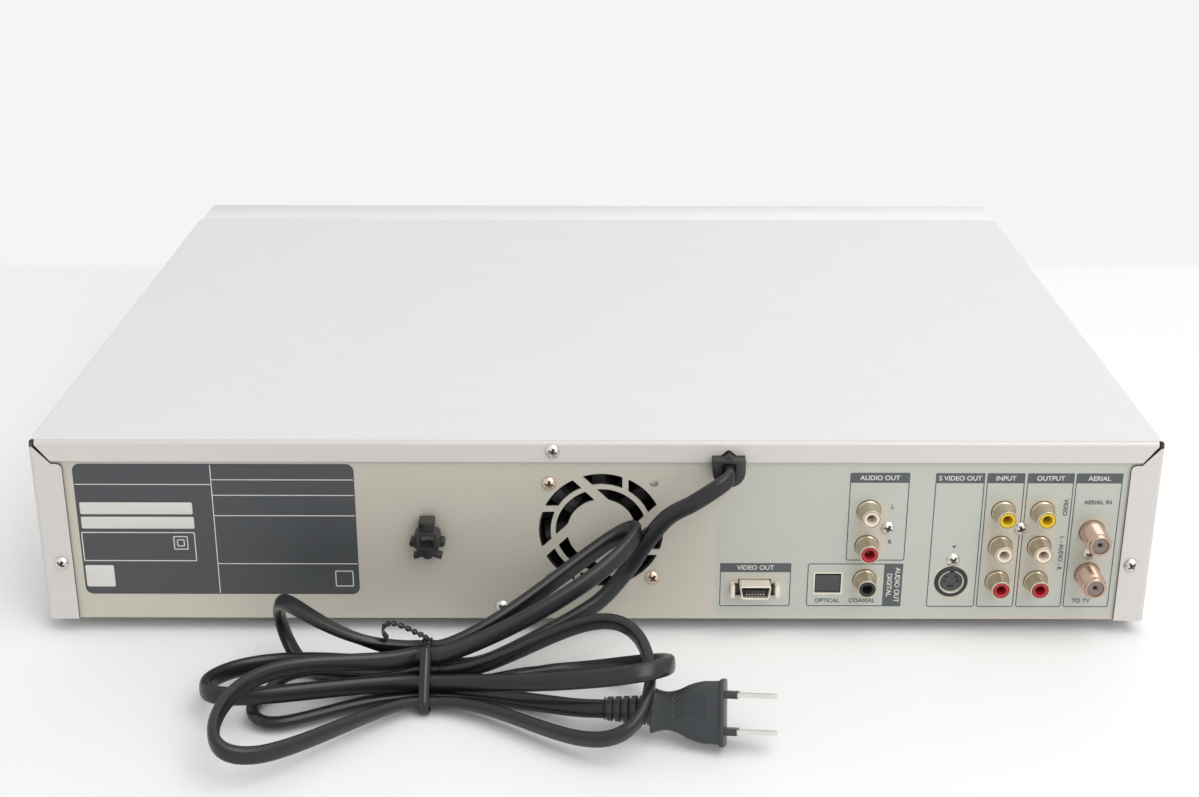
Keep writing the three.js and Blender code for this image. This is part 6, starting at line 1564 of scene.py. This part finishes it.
def cover_grids():
    """Grids (rows, columns, 3): top and sides, lip, and two flanges, with shared edges. Beside
    every bend runs a row a quarter of a millimetre away, which holds the flat faces flat."""
    bend = np.linspace(0, math.pi / 2, 7)
    straight = COVER_HALF - BEND
    across = np.array([-straight, -straight + HOLD, -SEAM_END[0], -120, *NOTCH_X, 60, 140,
                       SEAM_END[0], straight - HOLD, straight])
    edge_z = np.interp(across, [-COVER_HALF, *NOTCH_X, COVER_HALF], [LIP_EDGE, *NOTCH_Z, LIP_EDGE])
    side = np.stack([straight + BEND * np.cos(bend), COVER_TOP - BEND + BEND * np.sin(bend)], -1)
    right = np.concatenate([[[COVER_HALF, BOTTOM_Z], [COVER_HALF, COVER_TOP - BEND - HOLD]], side])
    top = np.stack([across[1:-1], 0 * across[1:-1] + COVER_TOP], -1)
    profile = np.concatenate([right * (-1, 1), top, right[::-1]])
    rows = np.array([COVER_FRONT, COVER_REAR - BEND - HOLD, COVER_REAR - BEND])
    main = np.stack(np.broadcast_arrays(profile[None, :, 0], rows[:, None],
                                        profile[None, :, 1]), -1)
    fold_y = COVER_REAR - BEND + BEND * np.sin(bend)
    fold_z = COVER_TOP - BEND + BEND * np.cos(bend)
    lip_y, lip_z = np.append(fold_y, COVER_REAR), np.append(fold_z, fold_z[-1] - HOLD)
    lip = np.stack(np.broadcast_arrays(across[None], lip_y[:, None], lip_z[:, None]), -1)
    lip[1:, [0, 1, -2, -1], 0] -= np.array([-NOTCH, -NOTCH, NOTCH, NOTCH])
    last = np.stack([across, 0 * across + COVER_REAR, edge_z], -1)
    seam_x = SEAM_END[0] + np.array([0.02, 0.01, 0.01, 0.02])
    last[[0, 1, -2, -1], 0] = np.array([-1, -1, 1, 1]) * seam_x
    lip = np.concatenate([lip, last[None]])
    turn_in = np.array([1.2, 0.5, 0.15, 0])
    flat_x = np.array([straight - HOLD, SEAM_END[0] + 0.1, SEAM_END[0] - 0.2, FLANGE_EDGE + 2,
                       *(FLANGE_EDGE + turn_in)])
    seam = SEAM_END[1] - SEAM_GAP
    rise = (COVER_TOP - BEND - SEAM_END[1]) / (straight - SEAM_END[0])
    rounded = seam - 0.3 - (2 - np.sqrt(4 - (2 - turn_in) ** 2))
    flat_top = np.concatenate([[seam + rise * (straight - HOLD - SEAM_END[0]), seam, seam - 0.3,
                                seam - 0.3], rounded])
    x = np.concatenate([side[:, 0], flat_x])
    y = np.concatenate([fold_y, 0 * flat_x + COVER_REAR])
    high = np.concatenate([0 * bend + COVER_TOP - BEND - HOLD - NOTCH * (bend > 0), flat_top])
    flange = np.stack([np.stack([x, y, 0 * x + BOTTOM_Z], -1), np.stack([x, y, high], -1)])
    return main, lip, flange, flange * (-1, 1, 1)


def open_skin(grid):
    """Points and four-sided faces of an open grid."""
    rows, columns = grid.shape[:2]
    return grid.reshape(-1, 3), joined(np.arange(rows * columns).reshape(rows, columns))


def folded_cover():
    """The grids as one welded sheet that faces out, made thick inwards. The lip and the flanges
    take a darker, warmer copy of the cover's paint, which is painted shade, and the cut edges all
    round take a dark tone, bare steel darkened as painted shade for the seam's dark line."""
    cover = piece("folded_cover", [open_skin(grid) for grid in cover_grids()],
                  [cover_paint, shaded_cover_paint, shaded_cover_paint, shaded_cover_paint], "top_cover",
                  ["top_cover"], sharp=60)
    shell = bmesh.new()
    shell.from_mesh(cover.data)
    bmesh.ops.remove_doubles(shell, verts=shell.verts, dist=0.00002)
    bmesh.ops.recalc_face_normals(shell, faces=shell.faces)
    for edge in shell.edges:
        edge.smooth = edge.smooth and not edge.is_boundary
    highest_face = max(shell.faces, key=lambda face: face.calc_center_median().z)
    if highest_face.normal.z < 0:
        bmesh.ops.reverse_faces(shell, faces=shell.faces)
    shell.to_mesh(cover.data)
    shell.free()
    thickness = cover.modifiers.new("sheet thickness", "SOLIDIFY")
    thickness.thickness = COVER_THICK * MM
    thickness.offset = -1
    cover.data.materials.append(cut_edge_and_shade)
    cover.data.materials.append(cut_edge_and_shade)
    thickness.material_offset_rim = 2


folded_cover()
print("cover:", round(COVER_HALF * 2, 1), "mm wide, lip", COVER_TOP - LIP_EDGE, "mm")

# %% [markdown]
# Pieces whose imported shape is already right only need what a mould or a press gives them:
# edges with a small radius, which catch the light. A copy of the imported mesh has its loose
# triangles merged into whole faces, and a bevel modifier rounds the edges between them.

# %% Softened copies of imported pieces
FLAT_ANGLE = math.radians(0.4)
EDGE_ANGLE = math.radians(30)
EDGE_PARTS = 2


def softened(node, radius, material, slot):
    """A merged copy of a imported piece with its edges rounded."""
    mesh = nodes[node].data.copy()
    mesh.name = node + "_softened"
    shell = bmesh.new()
    shell.from_mesh(mesh)
    bmesh.ops.remove_doubles(shell, verts=shell.verts, dist=0.000002)
    bmesh.ops.dissolve_limit(shell, angle_limit=FLAT_ANGLE, verts=shell.verts,
                             edges=shell.edges)
    shell.to_mesh(mesh)
    shell.free()
    mesh.shade_smooth()
    mesh.materials.clear()
    mesh.materials.append(material)
    mesh.polygons.foreach_set("material_index", np.zeros(len(mesh.polygons), np.int32))
    thing = add_object(node + "_softened", mesh)
    bevel = thing.modifiers.new("rounded edges", "BEVEL")
    bevel.width = radius * MM
    bevel.segments = EDGE_PARTS
    bevel.limit_method = "ANGLE"
    bevel.angle_limit = EDGE_ANGLE
    bevel.harden_normals = True
    ride_with(thing, node)
    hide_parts(node)


SOFTENED = [
    ("front_panel", 0.8, silver_plastic, "silver_plastic"),
    ("cassette_door", 0.5, silver_plastic, "silver_plastic"),
    ("front_input_door", 0.4, silver_plastic, "silver_plastic"),
    ("tray_front", 0.6, silver_plastic, "silver_plastic"),
    ("display_window", 0.3, smoked_acrylic, "smoked_acrylic"),
    ("disc_tray", 0.3, grey_plastic, "grey_plastic"),
    ("wire_clip", 0.2, black_plastic, "black_plastic"),
    ("cord_bushing", 0.35, black_plastic, "black_plastic"),
    ("optical_shutter", 0.12, grey_plastic, "black_plastic"),
]
SOFTENED += [(name + "_button", 0.4, silver_plastic, "silver_plastic") for name in (
    "power", "cassette_eject", "disc_open", "rewind", "play", "stop", "forward")]
SOFTENED += [(f"foot_{end}_{side}", 0.6, rubber_black, "rubber_black")
             for end in ("front", "rear") for side in ("left", "right")]
for entry in SOFTENED:
    softened(*entry)
print("softened pieces:", len(SOFTENED))

# %% [markdown]
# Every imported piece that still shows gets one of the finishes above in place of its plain
# colour, by the name of the slot that it came with.

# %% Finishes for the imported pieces
SLOT_FINISHES = {
    "cover_paint": cover_paint, "panel_metal": panel_sheet, "zinc_steel": zinc_steel,
    "silver_plastic": silver_plastic, "black_plastic": black_plastic, "grey_plastic": grey_plastic,
    "smoked_acrylic": smoked_acrylic, "champagne_metal": champagne_metal,
    "white_plastic": white_plastic, "board_green": board_green, "bright_steel": bright_steel,
    "brass_yellow": brass_yellow, "cord_black": cord_sheath, "rubber_black": rubber_black,
}
for name, node in nodes.items():
    for slot in node.material_slots:
        slot.material = SLOT_FINISHES[slot.material.name]
        if name.startswith("fan_"):
            slot.material = fan_black
print("finishes by slot:", len(SLOT_FINISHES), "for", len(nodes), "packed pieces")

# %% [markdown]
# The front is not in the photograph, so it gets only what every such player has: a sign on each
# button that tells what it does, plain words beside them, and a small lamp for standby. A sign
# is a thin printed slab on the button's own face, and it moves with the button.

# %% Signs on the buttons
FRONT_Y = lowest("front_panel", 1)
SIGN = 1.5


def arrowhead(left, right):
    """A triangle that points from left to right, or back when right is smaller."""
    return np.array([[left, -SIGN], [right, 0], [left, SIGN]])


def upright(points):
    """The same shape turned a quarter, so that it points up."""
    return points[:, ::-1]


BAR_UNDER = np.array([[-SIGN, -2.3], [SIGN, -2.3], [SIGN, -1.6], [-SIGN, -1.6]])
EJECT_SIGN = [upright(arrowhead(-1.1, 1.3)), BAR_UNDER]
POWER_BAR = np.array([[-0.25, 0.3], [0.25, 0.3], [0.25, 2.1], [-0.25, 2.1]])
BUTTON_SIGNS = {
    "cassette_eject_button": EJECT_SIGN,
    "disc_open_button": EJECT_SIGN,
    "rewind_button": [arrowhead(0, -2.2), arrowhead(2.2, 0)],
    "play_button": [arrowhead(-1.2, 1.5)],
    "stop_button": [np.array([[-1.3, -1.3], [1.3, -1.3], [1.3, 1.3], [-1.3, 1.3]])],
    "forward_button": [arrowhead(-2.2, 0), arrowhead(0, 2.2)],
    "power_button": [POWER_BAR],
}
for button, outlines in BUTTON_SIGNS.items():
    face = (middle(button, 0), lowest(button, 1), middle(button, 2))
    sign_skins = [layers([outline] * 2, [-0.02, INK_STEP], face, IN_FRONT)
                  for outline in outlines]
    if button == "power_button":
        ring = [(1.25, -0.02), (1.7, -0.02), (1.7, INK_STEP / 2), (1.25, INK_STEP / 2)]
        sign_skins.append(turned_ring(ring, face, IN_FRONT))
    piece(button + "_sign", sign_skins, dark_ink, button)

# %% Words and the standby lamp on the front
WORD_RISE = 2.6
above = {name: highest(name + "_button", 2) + WORD_RISE for name in ("power", "cassette_eject")}
row_words = {"disc_open": "OPEN", "rewind": "REWIND", "play": "PLAY", "stop": "STOP",
             "forward": "FORWARD"}
row_rise = (highest("play_button", 2) + lowest("display_window", 2)) / 2
front_words = [(word, middle(name + "_button", 0), row_rise, 0)
               for name, word in row_words.items()]
front_words += [("POWER", middle("power_button", 0), above["power"], 0),
                ("EJECT", middle("cassette_eject_button", 0), above["cassette_eject"], 0)]
lettering("front_words", front_words, 2.2, dark_ink, "front_panel", FRONT_Y, IN_FRONT)
DOOR_WORDS = [("cassette_word", "cassette_door", "VIDEO CASSETTE"),
              ("disc_word", "tray_front", "DISC"), ("input_word", "front_input_door", "INPUT")]
for name, node, word in DOOR_WORDS:
    place = (lowest(node, 0) + 5 + len(word), lowest(node, 2) + 4.2)
    lettering(name, [(word, *place, 0)], 2.6, dark_ink, node, lowest(node, 1), IN_FRONT)
standby_lens = finish("standby_lens", tone(96, 20, 24), 0.15, spread=0.1, scale=200,
                      own={"Coat Weight": 0.5})
piece("standby_lamp", [turned([(1.3, -0.5), (1.3, 0.15), (0.9, 0.38), (0.4, 0.46), (0, 0.48)],
                              (middle("power_button", 0), FRONT_Y, lowest("power_button", 2) - 5),
                              IN_FRONT, 32)],
      standby_lens, "front_panel")
print("signs and words on the front:", len(BUTTON_SIGNS), "and", len(front_words) + len(DOOR_WORDS))

# %% [markdown]
# The stage is a pale table that ends a little beyond the player, with a slightly darker wall
# after it. One large plane carries both tones and fades to the wall's tone far from the player,
# so that other views have a floor too. Broad lamps above, on the camera's side and in front keep
# shadows soft, and the world's pale tone is what metal reflects.

# %% Floor
TABLE_EDGE = -0.316
EDGE_BLEND = 0.02
FADE_FROM, FADE_TO = 0.8, 1.8
FLOOR_HALF = 6.0
TABLE_TONE = tone(252, 252, 252)
WALL_TONE = tone(245, 245, 245)


def seen_by(tree, *rays):
    """1 for a ray of one of these kinds, and 0 for any other."""
    path = tree.nodes.new("ShaderNodeLightPath")
    seen = path.outputs[rays[0]]
    for ray in rays[1:]:
        seen = calculate(tree, "MAXIMUM", seen, path.outputs[ray])
    return seen


def floor_finish():
    """The table is painted wood; past its edge a camera or glossy ray sees the plain wall."""
    material = bpy.data.materials.new("pale_table")
    material.use_nodes = True
    tree = material.node_tree
    shader = tree.nodes["Principled BSDF"]
    shader.inputs["Base Color"].default_value = TABLE_TONE
    shader.inputs["Roughness"].default_value = 0.6
    place = add_node(tree, "ShaderNodeSeparateXYZ", {0: object_place(tree)})
    past_edge = add_node(tree, "ShaderNodeMapRange",
                         {"Value": place.outputs["Y"], "From Min": TABLE_EDGE,
                          "From Max": TABLE_EDGE - EDGE_BLEND})
    seen = seen_by(tree, "Is Camera Ray", "Is Glossy Ray")
    reach = add_node(tree, "ShaderNodeVectorMath", {0: object_place(tree)}, operation="LENGTH")
    far = add_node(tree, "ShaderNodeMapRange",
                   {"Value": reach.outputs["Value"], "From Min": FADE_FROM, "From Max": FADE_TO},
                   interpolation_type="SMOOTHSTEP")
    plain = calculate(tree, "MAXIMUM", past_edge.outputs[0], far.outputs[0])
    share = calculate(tree, "MULTIPLY", plain, seen)
    wall = add_node(tree, "ShaderNodeEmission", {"Color": WALL_TONE, "Strength": 1.0})
    mixed = add_node(tree, "ShaderNodeMixShader",
                     {0: share, 1: shader.outputs[0], 2: wall.outputs[0]})
    tree.links.new(mixed.outputs[0], tree.nodes["Material Output"].inputs["Surface"])
    return material


def make_floor():
    """One square of twice FLOOR_HALF metres, at the player's feet."""
    mesh = bpy.data.meshes.new("floor")
    corners = np.array([[-1, -1, 0], [1, -1, 0], [1, 1, 0], [-1, 1, 0]]) * FLOOR_HALF
    mesh.from_pydata(corners, [], [[0, 1, 2, 3]])
    mesh.materials.append(floor_finish())
    add_object("floor", mesh)


make_floor()
print("floor:", 2 * FLOOR_HALF, "m wide, table's edge at y", TABLE_EDGE)

# %% World and lamps
SURROUND = tone(244, 244, 244)
FILL_LEVEL = 0.55


def make_world():
    """Light from all sides at FILL_LEVEL, seen as the pale tone in the picture, in metal and
    through clear plastic."""
    world = bpy.data.worlds.new("pale_room")
    bpy.context.scene.world = world
    world.use_nodes = True
    tree = world.node_tree
    seen = seen_by(tree, "Is Camera Ray", "Is Glossy Ray", "Is Transmission Ray")
    shown = add_node(tree, "ShaderNodeBackground", {"Color": SURROUND, "Strength": 1.0})
    fill = add_node(tree, "ShaderNodeBackground", {"Color": (1, 1, 1, 1), "Strength": FILL_LEVEL})
    mixed = add_node(tree, "ShaderNodeMixShader",
                     {0: seen, 1: fill.outputs[0], 2: shown.outputs[0]})
    output = tree.nodes.get("World Output") or tree.nodes.new("ShaderNodeOutputWorld")
    tree.links.new(mixed.outputs[0], output.inputs["Surface"])


def area_lamp(name, place, aim, size, power):
    """A round white lamp that looks from its place at its aim, in metres and watts."""
    data = bpy.data.lights.new(name, "AREA")
    data.shape, data.size, data.energy = "DISK", size, power
    lamp = add_object(name, data)
    ahead = np.array(aim, float) - np.array(place, float)
    turn = Vector(ahead.tolist()).to_track_quat("-Z", "Y").to_matrix().to_4x4()
    lamp.matrix_world = Matrix.Translation(place) @ turn


make_world()
area_lamp("overhead_lamp", (-0.8, 0.6, 2.3), (0, 0, 0), 2.1, 20)
area_lamp("camera_side_lamp", (-0.9, 1.7, 1.4), (0, 0.15, 0.03), 1.7, 17)
area_lamp("front_side_lamp", (-0.9, -2.0, 1.3), (0, -0.1, 0.03), 1.8, 4)
bpy.context.scene.view_settings.view_transform = "Standard"
print("lamps:", len(bpy.data.lights), "fill level:", FILL_LEVEL)
